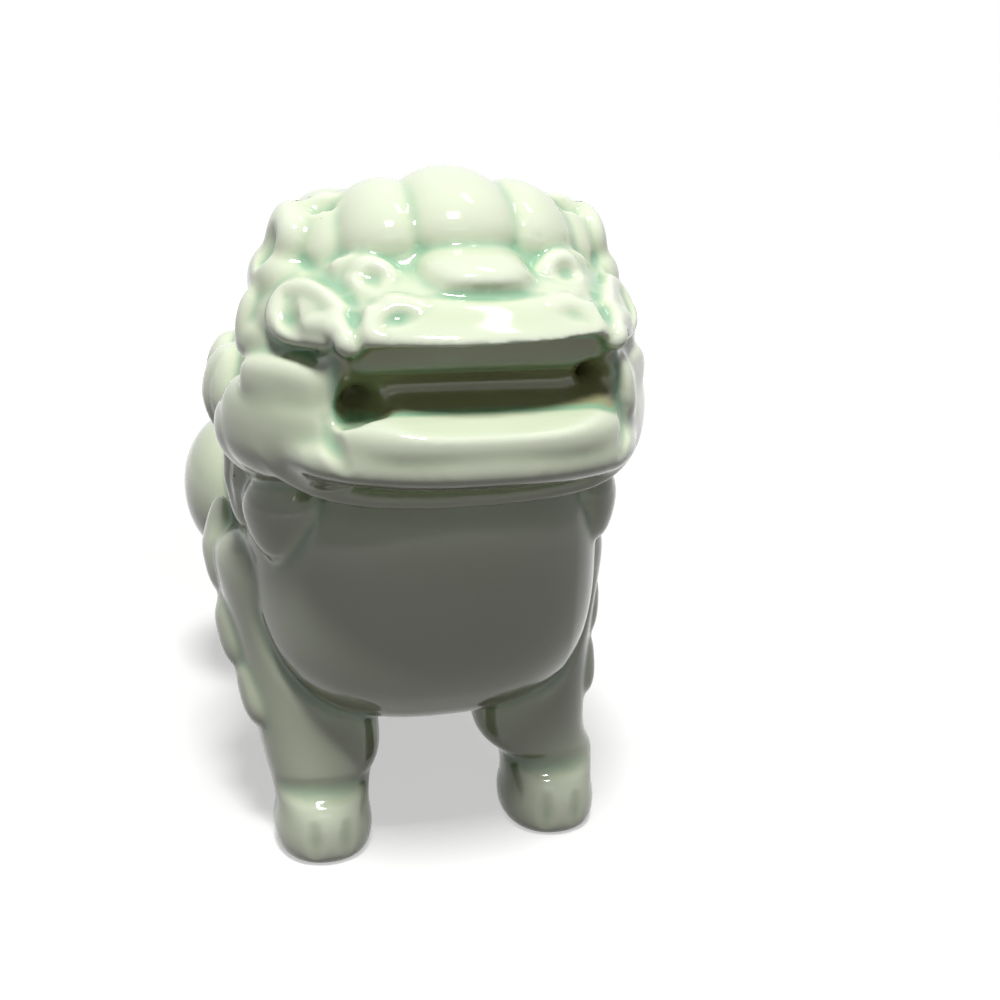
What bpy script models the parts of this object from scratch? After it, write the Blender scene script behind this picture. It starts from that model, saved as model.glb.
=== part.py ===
"""Foo dog candle holder: a standing guardian lion in glazed stoneware.

The figure is put together as a potter does it. The barrel of the body and the
head are hollow casts, the legs, jaws, curls and locks are pressed or rolled
apart from them, and each is luted on with slip while the clay is leather hard.
Every luted piece is one object here. It is cut to its seat by the pieces that
carry it, and stays a slip joint away from them.

Metres, +Z up. The dog faces -Y and its left side is at +X.
"""

import math

import bmesh
import bpy
from mathutils import Matrix, Vector

# Fits and walls
SLIP_JOINT = 0.0003         # left between two pieces that are luted together
BODY_WALL = 0.0045          # cast wall of the barrel
HEAD_WALL = 0.0060          # cast wall of the head
VENT_RADIUS = 0.0045        # hole in the belly that lets the air out in firing
NECK_HOLE_RADIUS = 0.0090   # hole through both walls where the head is luted on

# Barrel of the body, a long egg on its side
CHEST_FRONT_Y = -0.0540
RUMP_BACK_Y = 0.0610
CHEST_HALF_WIDTH = 0.0370
RUMP_HALF_WIDTH = 0.0300
CHEST_HALF_HEIGHT = 0.0355
RUMP_HALF_HEIGHT = 0.0240
CHEST_MID_Z = 0.0555
RUMP_MID_Z = 0.0560
BARREL_LENGTH_SQUARE = 3.2  # how blunt the two ends are
BARREL_RING_SQUARE = 2.6    # how square a slice across it is

# Head, a blunt egg that narrows to the crown
HEAD_MID_Y = -0.0290
HEAD_MID_Z = 0.0960
HEAD_HALF_WIDTH = 0.0325
HEAD_HALF_LENGTH = 0.0300
HEAD_HALF_HEIGHT = 0.0245
HEAD_SQUARE = 2.8
CROWN_NARROWING = 0.22

# Mouth, hollowed out of the head between the jaws
MOUTH_HALF_WIDTH = 0.0235
MOUTH_BACK_Y = -0.0560
MOUTH_MID_Z = 0.0942
MOUTH_HALF_HEIGHT = 0.0064

# Muzzle with the upper lip, and the lower jaw
MUZZLE_HALF_WIDTH = 0.0200
MUZZLE_HALF_LENGTH = 0.0155
MUZZLE_HALF_HEIGHT = 0.0048
MUZZLE_MID_Y = -0.0600
MUZZLE_MID_Z = 0.1048
MUZZLE_TILT = math.radians(-5)
MUZZLE_TOP_NARROWING = 0.24
MUZZLE_RIM_SQUARE = 3.6
JAW_HALF_WIDTH = 0.0318
JAW_HALF_LENGTH = 0.0270
JAW_HALF_HEIGHT = 0.0052
JAW_MID_Y = -0.0455
JAW_MID_Z = 0.0825
JAW_RIM_SQUARE = 3.6

# Jowls, the two pads at the corners of the mouth
JOWL_X = 0.0252
JOWL_Y = -0.0480
JOWL_Z = 0.0908
JOWL_HALF_WIDTH = 0.0086
JOWL_HALF_LENGTH = 0.0126
JOWL_HALF_HEIGHT = 0.0090
JOWL_TURN = math.radians(42)
JOWL_SQUARE = 2.5

# Nose and nostril curls
NOSE_HALF_WIDTH = 0.0085
NOSE_HALF_LENGTH = 0.0085
NOSE_HALF_HEIGHT = 0.0044
NOSE_Y = -0.0620
NOSE_SINK = 0.0012
NOSTRIL_CURL_X = 0.0140
NOSTRIL_CURL_Y = -0.0696
NOSTRIL_CURL_Z = 0.1068
NOSTRIL_CURL_RADIUS = 0.0038
NOSTRIL_CURL_THICKNESS = 0.0034

# Eyes
EYE_X = 0.0147
EYE_Z = 0.1100
EYE_HALF_WIDTH = 0.0060
EYE_HALF_HEIGHT = 0.0030
EYE_HALF_DEPTH = 0.0022
EYE_SLANT = math.radians(8)
PUPIL_RADIUS = 0.0011

# Cheek curls
CHEEK_CURL_X = 0.0262
CHEEK_CURL_Z = 0.1035
CHEEK_CURL_RADIUS = 0.0062
CHEEK_CURL_THICKNESS = 0.0066

# Brow curls, one over the nose and two to each side of it
BROW_CURL_X = (0.0, 0.0125, 0.0200)
BROW_CURL_FRONT_Z = (0.1130, 0.1120, 0.1105)
BROW_CURL_HALF_WIDTH = (0.0102, 0.0075, 0.0064)
BROW_CURL_HALF_HEIGHT = (0.0050, 0.0040, 0.0036)
BROW_CURL_BACK_Y = -0.0200

# Ears
EAR_Y = -0.0375
EAR_Z = 0.1100
EAR_HALF_WIDTH = 0.0054
EAR_HALF_HEIGHT = 0.0086
EAR_HALF_DEPTH = 0.0045
EAR_INSET = 0.0015
EAR_DISH_DEPTH = 0.0012

# Mane: four locks down each side, set round the neck, and five over the nape
NECK_BEHIND_HEAD = 0.0030
SIDE_LOCK_ANGLE = tuple(math.radians(a) for a in (64, 86, 112, 142))
SIDE_LOCK_TIP_ANGLE = tuple(math.radians(a) for a in (59, 82, 106, 130))
SIDE_LOCK_TOP_Z = (0.0900, 0.0945, 0.0960, 0.0970)
SIDE_LOCK_TIP_Z = (0.0570, 0.0620, 0.0680, 0.0730)
SIDE_LOCK_HALF_WIDTH = (0.0088, 0.0085, 0.0086, 0.0086)
SIDE_LOCK_HALF_HEIGHT = (0.0062, 0.0059, 0.0061, 0.0060)
NAPE_LOCK_ANGLE = tuple(math.radians(a) for a in (180, 154, 206, 126, 234))
NAPE_LOCK_TOP_Z = (0.1175, 0.1160, 0.1160, 0.1130, 0.1130)
NAPE_LOCK_TIP_Z = (0.0960, 0.0965, 0.0965, 0.0900, 0.0900)
NAPE_LOCK_HALF_WIDTH = 0.0078
NAPE_LOCK_HALF_HEIGHT = 0.0046

# Shoulder tufts, from the top of the leg up the shoulder
TUFT_OUT = (0.0052, 0.0084, 0.0098)     # from the middle of the shoulder
TUFT_Y = (-0.0285, -0.0240, -0.0170)
TUFT_Z = (0.0325, 0.0425, 0.0540)
TUFT_HALF_WIDTH = 0.0056
TUFT_HALF_LENGTH = 0.0090
TUFT_HALF_HEIGHT = 0.0040

# Front legs
FRONT_LEG_INSET = 0.0130    # from the flank to the middle of the leg
FRONT_LEG_Y = -0.0290
FRONT_LEG_HALF_WIDTH = 0.0112
FRONT_LEG_HALF_LENGTH = 0.0115
SHOULDER_INSET = 0.0077
SHOULDER_Y = -0.0230
SHOULDER_TOP_Z = 0.0600
SHOULDER_HALF_WIDTH = 0.0120
SHOULDER_HALF_LENGTH = 0.0140
FRONT_PAW_SPLAY = 0.0015
FRONT_PAW_Y = -0.0330
FRONT_PAW_HALF_WIDTH = 0.0092
FRONT_PAW_HALF_LENGTH = 0.0115
PAW_HEIGHT = 0.0120
STANCE_SHIFT = 0.0012       # the two front paws stand a little to the left of the body
TOE_GROOVE_WIDTH = 0.0014
TOE_GROOVE_DEPTH = 0.0013
TOE_GROOVE_HEIGHT = 0.0090

# Rear legs and haunches
HAUNCH_INSET = 0.0036
HAUNCH_Y = 0.0340
HAUNCH_Z = 0.0510
HAUNCH_HALF_WIDTH = 0.0145
HAUNCH_HALF_LENGTH = 0.0185
HAUNCH_HALF_HEIGHT = 0.0170
REAR_LEG_INSET = 0.0092
REAR_LEG_Y = 0.0420
REAR_LEG_HALF_WIDTH = 0.0095
REAR_LEG_HALF_LENGTH = 0.0110
REAR_PAW_Y = 0.0400
REAR_PAW_HALF_WIDTH = 0.0092
REAR_PAW_HALF_LENGTH = 0.0125

# Tail
TAIL_ROOT_Z = 0.0560
TAIL_TIP_Z = 0.1000
TAIL_REACH = 0.0108
TAIL_ROOT_HALF_WIDTH = 0.0105
TAIL_HALF_WIDTH = 0.0160
TAIL_TIP_HALF_WIDTH = 0.0075
TAIL_HALF_THICKNESS = 0.0074
TAIL_CURL_X = 0.0165
TAIL_CURL_Y = 0.0630
TAIL_CURL_Z = 0.0640
TAIL_CURL_RADIUS = 0.0060
TAIL_CURL_THICKNESS = 0.0056

# Candle cup, turned, for a taper 22 mm thick
CANDLE_DIAMETER = 0.0220
CANDLE_PLAY = 0.0006
CUP_DEPTH = 0.0220
CUP_WALL = 0.0036
CUP_FLOOR = 0.0045
CUP_Y = 0.0200
CUP_RIM_ABOVE_BACK = 0.0110
CUP_RIM_BEAD = 0.0014
COLLAR_WIDTH = 0.0034
COLLAR_HEIGHT = 0.0038

# Glaze: pale where it runs thin over a form, greener where it gathers
PALE_GLAZE = (0.66, 0.74, 0.58, 1.0)
MIDDLE_GLAZE = (0.57, 0.68, 0.52, 1.0)
GLAZE_ROUGHNESS = 0.12

SIDES = (("left", 1.0), ("right", -1.0))


def clear_scene():
    for old in list(bpy.data.objects):
        bpy.data.objects.remove(old, do_unlink=True)


def glaze(name, colour):
    """A glossy fired glaze of one depth."""
    material = bpy.data.materials.new(name)
    material.use_nodes = True
    shader = material.node_tree.nodes["Principled BSDF"]
    shader.inputs["Base Color"].default_value = colour
    shader.inputs["Roughness"].default_value = GLAZE_ROUGHNESS
    shader.inputs["Metallic"].default_value = 0.0
    material.diffuse_color = colour
    return material


def signed_power(value, power):
    return math.copysign(abs(value) ** power, value)


def skin(name, rings, first, last):
    """One closed body over a row of equal rings, with a point at each end."""
    mesh_data = bmesh.new()
    rows = [[mesh_data.verts.new(point) for point in ring] for ring in rings]
    start = mesh_data.verts.new(first)
    end = mesh_data.verts.new(last)
    count = len(rows[0])
    for low, high in zip(rows, rows[1:]):
        for i in range(count):
            j = (i + 1) % count
            mesh_data.faces.new((low[i], low[j], high[j], high[i]))
    for i in range(count):
        j = (i + 1) % count
        mesh_data.faces.new((start, rows[0][j], rows[0][i]))
        mesh_data.faces.new((end, rows[-1][i], rows[-1][j]))
    bmesh.ops.recalc_face_normals(mesh_data, faces=mesh_data.faces)
    mesh = bpy.data.meshes.new(name)
    mesh_data.to_mesh(mesh)
    mesh_data.free()
    return mesh


def egg(centre, radii, square=2.0, turn=None, around=16, along=10,
        narrowing=0.0, rim_square=None):
    """A superellipsoid, its poles on its own Z.

    It may narrow across X towards its top, and have a blunter rim than its plan."""
    turn = turn or Matrix.Identity(3)
    rim_square = rim_square or square

    def shape(name, grow):
        reach = [radius + grow for radius in radii]
        power = 2.0 / square
        rim_power = 2.0 / rim_square
        rings = []
        for k in range(1, along):
            high = -math.pi / 2 + math.pi * k / along
            level = signed_power(math.sin(high), rim_power)
            width = signed_power(math.cos(high), rim_power)
            ring = []
            for j in range(around):
                angle = 2 * math.pi * j / around
                x = width * signed_power(math.cos(angle), power)
                y = width * signed_power(math.sin(angle), power)
                point = Vector((reach[0] * x * (1.0 - narrowing * level), reach[1] * y,
                                reach[2] * level))
                ring.append(centre + turn @ point)
            rings.append(ring)
        poles = [centre + turn @ Vector((0, 0, end * reach[2])) for end in (-1, 1)]
        return skin(name, rings, poles[0], poles[1])

    return shape


def along_curve(values, t):
    """The value at t, 0 to 1, on a smooth curve through a row of values."""
    last = len(values) - 1
    place = min(max(t, 0.0), 1.0) * last
    i = min(int(place), last - 1)
    f = place - i
    a, b = values[max(i - 1, 0)], values[i]
    c, d = values[i + 1], values[min(i + 2, last)]
    return 0.5 * ((b * 2) + (c - a) * f + (a * 2 - b * 5 + c * 4 - d) * f ** 2
                  + (b * 3 - a - c * 3 + d) * f ** 3)


def lock(points, widths, heights, core, pointed=True, around=10, along=8):
    """A rolled lock of clay along a curve: its back faces away from the core.

    It starts round and ends in a point, or round if pointed is False."""

    def shape(name, grow):
        rings = []
        for k in range(1, along):
            t = 0.5 - 0.5 * math.cos(math.pi * k / along)
            middle = along_curve(points, t)
            ahead = along_curve(points, t + 0.02) - along_curve(points, t - 0.02)
            ahead.normalize()
            up = middle - core(middle)
            up = (up - ahead * up.dot(ahead)).normalized()
            side = ahead.cross(up)
            swell = math.sqrt(max(1.0 - (1.0 - min(t / 0.35, 1.0)) ** 2, 0.0))
            rest = 1.0 - t
            if pointed:
                swell *= min(rest / 0.45, 1.0) ** 0.75
            else:
                swell *= math.sqrt(max(1.0 - (1.0 - min(rest / 0.35, 1.0)) ** 2, 0.0))
            half_width = along_curve(widths, t) * swell + grow
            half_height = along_curve(heights, t) * swell + grow
            rings.append([middle + side * half_width * math.cos(2 * math.pi * j / around)
                          + up * half_height * math.sin(2 * math.pi * j / around)
                          for j in range(around)])
        out = [(points[0] - along_curve(points, 0.05)).normalized(),
               (points[-1] - along_curve(points, 0.95)).normalized()]
        return skin(name, rings, points[0] + out[0] * grow, points[-1] + out[1] * grow)

    return shape


def curl(centre, outward, start_angle, radius, thickness, hand, turns=1.05, around=7, along=13):
    """A volute lying on a surface: a tapering roll wound in towards its middle."""
    outward = outward.normalized()
    level = Vector((0, 0, 1))
    across = level.cross(outward).normalized() * hand
    upward = outward.cross(across).normalized() * hand

    def place(t):
        angle = start_angle + 2 * math.pi * turns * t
        reach = radius * (1.0 - 0.80 * t)
        return (centre + across * reach * math.cos(angle)
                + upward * reach * math.sin(angle) + outward * thickness * 0.25 * t)

    def shape(name, grow):
        rings = []
        for k in range(1, along):
            t = k / along
            middle = place(t)
            ahead = (place(t + 0.01) - place(t - 0.01)).normalized()
            side = ahead.cross(outward).normalized()
            swell = math.sqrt(math.sin(math.pi * min(t / 0.3, 1.0) / 2))
            swell *= math.sqrt(math.sin(math.pi * min((1 - t) / 0.12, 1.0) / 2))
            half = thickness / 2 * (1.0 - 0.50 * t) * swell
            rings.append([middle + side * (half + grow) * math.cos(2 * math.pi * j / around)
                          + outward * (half * 1.25 + grow) * math.sin(2 * math.pi * j / around)
                          for j in range(around)])
        return skin(name, rings, place(0.0), place(1.0))

    return shape


def turned(centre, profile, around=28):
    """A solid of revolution about a vertical axis, from (radius, height) points."""

    def shape(name, grow):
        rings = []
        for radius, height, push_out, push_up in profile:
            reach = radius + push_out * grow
            level = height + push_up * grow
            rings.append([centre + Vector((reach * math.cos(2 * math.pi * j / around),
                                           reach * math.sin(2 * math.pi * j / around), level))
                          for j in range(around)])
        low = centre + Vector((0, 0, profile[0][1] + profile[0][3] * grow))
        high = centre + Vector((0, 0, profile[-1][1] + profile[-1][3] * grow))
        return skin(name, rings, low, high)

    return shape


# The barrel and the head as surfaces, on which the other pieces find their seats

BARREL_MID_Y = (CHEST_FRONT_Y + RUMP_BACK_Y) / 2
BARREL_HALF_LENGTH = (RUMP_BACK_Y - CHEST_FRONT_Y) / 2


def barrel_slice(y):
    """Half width, half height and mid height of the barrel at y."""
    t = max(-1.0, min(1.0, (y - BARREL_MID_Y) / BARREL_HALF_LENGTH))
    swell = (1.0 - abs(t) ** BARREL_LENGTH_SQUARE) ** (1.0 / BARREL_LENGTH_SQUARE)
    back = (t + 1.0) / 2
    half_width = CHEST_HALF_WIDTH + (RUMP_HALF_WIDTH - CHEST_HALF_WIDTH) * back
    half_height = CHEST_HALF_HEIGHT + (RUMP_HALF_HEIGHT - CHEST_HALF_HEIGHT) * back
    mid_z = CHEST_MID_Z + (RUMP_MID_Z - CHEST_MID_Z) * back
    return half_width * swell, half_height * swell, mid_z


def barrel_side(y, z):
    """Distance of the flank from the middle plane."""
    half_width, half_height, mid_z = barrel_slice(y)
    level = min(abs(z - mid_z) / half_height, 1.0)
    return half_width * (1.0 - level ** BARREL_RING_SQUARE) ** (1.0 / BARREL_RING_SQUARE)


def barrel_top(y):
    half_width, half_height, mid_z = barrel_slice(y)
    return mid_z + half_height


def barrel(around=26, along=20):
    def shape(name, grow):
        power = 2.0 / BARREL_RING_SQUARE
        rings = []
        for k in range(1, along):
            t = -math.cos(math.pi * k / along)
            half_width, half_height, mid_z = barrel_slice(BARREL_MID_Y + BARREL_HALF_LENGTH * t)
            y = BARREL_MID_Y + (BARREL_HALF_LENGTH + grow) * t
            rings.append([Vector(((half_width + grow) * signed_power(math.cos(a), power), y,
                                  mid_z + (half_height + grow) * signed_power(math.sin(a), power)))
                          for a in (2 * math.pi * j / around for j in range(around))])
        return skin(name, rings, Vector((0, CHEST_FRONT_Y - grow, CHEST_MID_Z)),
                    Vector((0, RUMP_BACK_Y + grow, RUMP_MID_Z)))

    return shape


HEAD_MIDDLE = Vector((0, HEAD_MID_Y, HEAD_MID_Z))
NECK_Y = HEAD_MID_Y + NECK_BEHIND_HEAD


def head_reach(first, second):
    """How far out the head's surface is when two of its three shares are given."""
    left = 1.0 - min(abs(first) ** HEAD_SQUARE + abs(second) ** HEAD_SQUARE, 1.0)
    return left ** (1.0 / HEAD_SQUARE)


def head_half_width(z):
    return HEAD_HALF_WIDTH * (1.0 - CROWN_NARROWING * (z - HEAD_MID_Z) / HEAD_HALF_HEIGHT)


def face_y(x, z):
    return HEAD_MID_Y - HEAD_HALF_LENGTH * head_reach(x / head_half_width(z),
                                                      (z - HEAD_MID_Z) / HEAD_HALF_HEIGHT)


def head_side(y, z):
    return head_half_width(z) * head_reach((y - HEAD_MID_Y) / HEAD_HALF_LENGTH,
                                           (z - HEAD_MID_Z) / HEAD_HALF_HEIGHT)


def head_top(x, y):
    crown = HEAD_HALF_WIDTH * (1.0 - CROWN_NARROWING)
    return HEAD_MID_Z + HEAD_HALF_HEIGHT * head_reach(x / crown,
                                                      (y - HEAD_MID_Y) / HEAD_HALF_LENGTH)


def within_head(point):
    if abs(point.z - HEAD_MID_Z) >= HEAD_HALF_HEIGHT:
        return False
    if abs(point.y - HEAD_MID_Y) >= HEAD_HALF_LENGTH:
        return False
    return abs(point.x) < head_side(point.y, point.z)


def within_barrel(point):
    if not CHEST_FRONT_Y < point.y < RUMP_BACK_Y:
        return False
    half_width, half_height, mid_z = barrel_slice(point.y)
    if abs(point.z - mid_z) >= half_height:
        return False
    return abs(point.x) < barrel_side(point.y, point.z)


def round_neck(angle, z):
    """The outermost point of head or barrel at a height, seen round the neck.

    The angle runs from the face, at 0, round the dog's left side."""
    middle = Vector((0, NECK_Y, z))
    out = Vector((math.sin(angle), -math.cos(angle), 0))
    inner, outer = 0.0, CHEST_HALF_WIDTH + HEAD_HALF_LENGTH
    for step in range(24):
        reach = (inner + outer) / 2
        point = middle + out * reach
        if within_head(point) or within_barrel(point):
            inner = reach
        else:
            outer = reach
    return middle + out * inner


def inside_head(_point):
    return HEAD_MIDDLE


def inside_barrel(point):
    return Vector((0, point.y, CHEST_MID_Z))


def inside_neck(point):
    """The middle line that the locks of the mane stand out from."""
    return Vector((0, NECK_Y, point.z))


shapes = {}
cutters = {}


def clearance(name):
    """A cutter one slip joint larger than the piece of that name."""
    if name not in cutters:
        mesh = shapes[name](name + "_clearance", SLIP_JOINT)
        cutter = bpy.data.objects.new(name + "_clearance", mesh)
        bpy.context.scene.collection.objects.link(cutter)
        cutter.hide_render = True
        cutter.display_type = "WIRE"
        cutter.parent = figure
        cutters[name] = cutter
    return cutters[name]


def hollow(name, shape, grow=0.0):
    """A cutter with a shape of its own."""
    cutter = bpy.data.objects.new(name, shape(name, grow))
    bpy.context.scene.collection.objects.link(cutter)
    cutter.hide_render = True
    cutter.display_type = "WIRE"
    cutter.parent = figure
    return cutter


def cut(piece, cutter):
    boolean = piece.modifiers.new("cut_" + cutter.name, "BOOLEAN")
    boolean.operation = "DIFFERENCE"
    boolean.solver = "EXACT"
    boolean.object = cutter


def make(name, shape, colour, seats=()):
    """A piece of clay, cut to its seat by the pieces that carry it."""
    shapes[name] = shape
    mesh = shape(name, 0.0)
    mesh.materials.append(glaze(name + "_glaze", colour))
    mesh.shade_smooth()
    mesh.set_sharp_from_angle(angle=math.radians(40))
    piece = bpy.data.objects.new(name, mesh)
    bpy.context.scene.collection.objects.link(piece)
    piece.parent = figure
    for seat in seats:
        cut(piece, clearance(seat))
    return piece


def upright(centre, radius, low, high, around=20):
    """A plain vertical plug, for a hole."""
    return turned(centre, [(radius, low, 1, 0), (radius, high, 1, 0)], around)


def make_body():
    torso = make("torso", barrel(), PALE_GLAZE)
    cup_middle = Vector((0, CUP_Y, 0))
    back = barrel_top(CUP_Y)
    rim = back + CUP_RIM_ABOVE_BACK
    floor = rim - CUP_DEPTH
    bore = (CANDLE_DIAMETER + CANDLE_PLAY) / 2
    outer = bore + CUP_WALL
    profile = [(outer - CUP_RIM_BEAD, floor - CUP_FLOOR, 1, -1),
               (outer, floor - CUP_FLOOR + CUP_RIM_BEAD, 1, -1),
               (outer, back - COLLAR_HEIGHT, 1, -1),
               (outer + COLLAR_WIDTH, back - COLLAR_HEIGHT, 1, -1),
               (outer + COLLAR_WIDTH, back + COLLAR_HEIGHT * 0.3, 1, 1),
               (outer + COLLAR_WIDTH * 0.7, back + COLLAR_HEIGHT * 0.6, 1, 1),
               (outer, back + COLLAR_HEIGHT, 1, 1),
               (outer, rim - 2 * CUP_RIM_BEAD, 1, 1),
               (outer + CUP_RIM_BEAD, rim - CUP_RIM_BEAD, 1, 1),
               (outer, rim, 1, 1),
               (bore + CUP_RIM_BEAD * 0.5, rim, -1, 1),
               (bore, rim - CUP_RIM_BEAD * 0.5, -1, 1),
               (bore, floor, -1, 1)]
    make("candle_cup", turned(cup_middle, profile), MIDDLE_GLAZE)
    cut(torso, hollow("body_hollow", barrel(16, 12), -BODY_WALL))
    solid_profile = [point for point in profile if point[0] >= outer - CUP_RIM_BEAD]
    cut(torso, hollow("cup_seat", turned(cup_middle, solid_profile), SLIP_JOINT))
    vent = Vector((0, BARREL_MID_Y, 0))
    cut(torso, hollow("belly_vent", upright(vent, VENT_RADIUS, 0.0, CHEST_MID_Z)))
    neck = Vector((0, HEAD_MID_Y, 0))
    cut(torso, hollow("neck_hole", upright(neck, NECK_HOLE_RADIUS, CHEST_MID_Z, HEAD_MID_Z)))
    return torso


def make_head():
    head_radii = (HEAD_HALF_WIDTH, HEAD_HALF_LENGTH, HEAD_HALF_HEIGHT)
    skull_shape = egg(HEAD_MIDDLE, head_radii, HEAD_SQUARE, None, 24, 16, CROWN_NARROWING)
    skull = make("skull", skull_shape, PALE_GLAZE, ("torso",))
    cavity = egg(HEAD_MIDDLE, head_radii, HEAD_SQUARE, None, 14, 10, CROWN_NARROWING)
    mouth_depth = MOUTH_BACK_Y - (CHEST_FRONT_Y * 2)
    mouth_middle = Vector((0, MOUTH_BACK_Y - mouth_depth / 2, MOUTH_MID_Z))
    mouth_radii = (MOUTH_HALF_WIDTH, mouth_depth / 2, MOUTH_HALF_HEIGHT)
    mouth = egg(mouth_middle, mouth_radii, 4.0, None, 16, 8)
    inner = hollow("head_hollow", cavity, -HEAD_WALL)
    mouth_wall = hollow("mouth_wall", mouth, HEAD_WALL)
    cut(inner, mouth_wall)
    cut(skull, hollow("mouth_hollow", mouth))
    cut(skull, inner)
    neck = Vector((0, HEAD_MID_Y, 0))
    cut(skull, hollow("head_neck_hole", upright(neck, NECK_HOLE_RADIUS, CHEST_MID_Z, HEAD_MID_Z)))


def make_jaws():
    tilt = Matrix.Rotation(MUZZLE_TILT, 3, "X")
    muzzle_middle = Vector((0, MUZZLE_MID_Y, MUZZLE_MID_Z))
    make("muzzle", egg(muzzle_middle, (MUZZLE_HALF_WIDTH, MUZZLE_HALF_LENGTH, MUZZLE_HALF_HEIGHT),
                       2.5, tilt, 24, 12, MUZZLE_TOP_NARROWING, MUZZLE_RIM_SQUARE),
         PALE_GLAZE, ("skull",))
    jaw_middle = Vector((0, JAW_MID_Y, JAW_MID_Z))
    make("lower_jaw", egg(jaw_middle, (JAW_HALF_WIDTH, JAW_HALF_LENGTH, JAW_HALF_HEIGHT),
                          2.4, None, 28, 12, 0.0, JAW_RIM_SQUARE),
         PALE_GLAZE, ("skull", "torso"))
    for side_name, side in SIDES:
        centre = Vector((side * JOWL_X, JOWL_Y, JOWL_Z))
        turn = Matrix.Rotation(-side * JOWL_TURN, 3, "Z")
        make("jowl_" + side_name, egg(centre, (JOWL_HALF_WIDTH, JOWL_HALF_LENGTH, JOWL_HALF_HEIGHT),
                                      JOWL_SQUARE, turn, 14, 10),
             PALE_GLAZE, ("skull", "torso", "lower_jaw", "muzzle"))


def muzzle_top(y):
    return MUZZLE_MID_Z + MUZZLE_HALF_HEIGHT + (y - MUZZLE_MID_Y) * math.tan(MUZZLE_TILT)


def make_face():
    nose = Vector((0, NOSE_Y, muzzle_top(NOSE_Y) - NOSE_SINK))
    make("nose", egg(nose, (NOSE_HALF_WIDTH, NOSE_HALF_LENGTH, NOSE_HALF_HEIGHT), 2.2, None, 16, 10),
         PALE_GLAZE, ("skull", "muzzle"))
    for side_name, side in SIDES:
        centre = Vector((side * NOSTRIL_CURL_X, NOSTRIL_CURL_Y, NOSTRIL_CURL_Z))
        make("nostril_curl_" + side_name,
             curl(centre, Vector((side * 0.5, -0.8, 0.6)), math.radians(-60), NOSTRIL_CURL_RADIUS,
                  NOSTRIL_CURL_THICKNESS, side, 0.9, 7, 11),
             PALE_GLAZE, ("skull", "muzzle", "nose"))
        x = side * EYE_X
        centre = Vector((x, face_y(x, EYE_Z), EYE_Z))
        outward = (centre - HEAD_MIDDLE).normalized()
        turn = outward.to_track_quat("Z", "Y").to_matrix()
        turn = turn @ Matrix.Rotation(-side * EYE_SLANT, 3, "Z")
        eye = make("eye_" + side_name, egg(centre, (EYE_HALF_WIDTH, EYE_HALF_HEIGHT, EYE_HALF_DEPTH),
                                           2.0, turn, 14, 6), PALE_GLAZE, ("skull", "muzzle"))
        dimple = egg(centre + outward * EYE_HALF_DEPTH, (PUPIL_RADIUS,) * 3, 2.0, turn, 8, 6)
        cut(eye, hollow("pupil_" + side_name, dimple))
        x = side * CHEEK_CURL_X
        centre = Vector((x, face_y(x, CHEEK_CURL_Z), CHEEK_CURL_Z))
        outward = centre - HEAD_MIDDLE
        make("cheek_curl_" + side_name,
             curl(centre, outward, math.radians(-150), CHEEK_CURL_RADIUS, CHEEK_CURL_THICKNESS, side),
             MIDDLE_GLAZE, ("skull", "muzzle", "jowl_" + side_name, "eye_" + side_name))


def make_brow():
    made = []
    for row, x in enumerate(BROW_CURL_X):
        for side_name, side in SIDES:
            if row == 0 and side < 0:
                continue
            name = "brow_curl_centre" if row == 0 else "brow_curl_%s_%d" % (side_name, row)
            front_z = BROW_CURL_FRONT_Z[row]
            front = Vector((side * x, face_y(x, front_z), front_z))
            crown_y = (front.y + BROW_CURL_BACK_Y) / 2
            crown = Vector((side * x * 0.96, crown_y, head_top(x * 0.96, crown_y)))
            back = Vector((side * x * 0.86, BROW_CURL_BACK_Y, head_top(x * 0.86, BROW_CURL_BACK_Y)))
            half_width = BROW_CURL_HALF_WIDTH[row]
            half_height = BROW_CURL_HALF_HEIGHT[row]
            shape = lock([front, crown, back], [half_width, half_width, half_width * 0.6],
                         [half_height, half_height, half_height * 0.6], inside_head, False)
            seats = ["skull", "eye_" + side_name]
            if row == 1:
                seats.append("brow_curl_centre")
            if row > 1:
                seats.append("brow_curl_%s_%d" % (side_name, row - 1))
            make(name, shape, PALE_GLAZE, seats)
            made.append(name)
    for side_name, side in SIDES:
        x = side * (head_side(EAR_Y, EAR_Z) - EAR_INSET)
        centre = Vector((x, EAR_Y, EAR_Z))
        outward = (centre - HEAD_MIDDLE).normalized()
        turn = outward.to_track_quat("Z", "Y").to_matrix()
        ear = make("ear_" + side_name, egg(centre, (EAR_HALF_WIDTH, EAR_HALF_HEIGHT, EAR_HALF_DEPTH),
                                           2.0, turn, 14, 8),
                   MIDDLE_GLAZE, ("skull", "brow_curl_%s_2" % side_name, "cheek_curl_" + side_name,
                            "eye_" + side_name))
        dish = egg(centre + outward * EAR_HALF_DEPTH,
                   (EAR_HALF_WIDTH * 0.5, EAR_HALF_HEIGHT * 0.5, EAR_DISH_DEPTH), 2.0, turn, 10, 6)
        cut(ear, hollow("ear_dish_" + side_name, dish))


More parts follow.
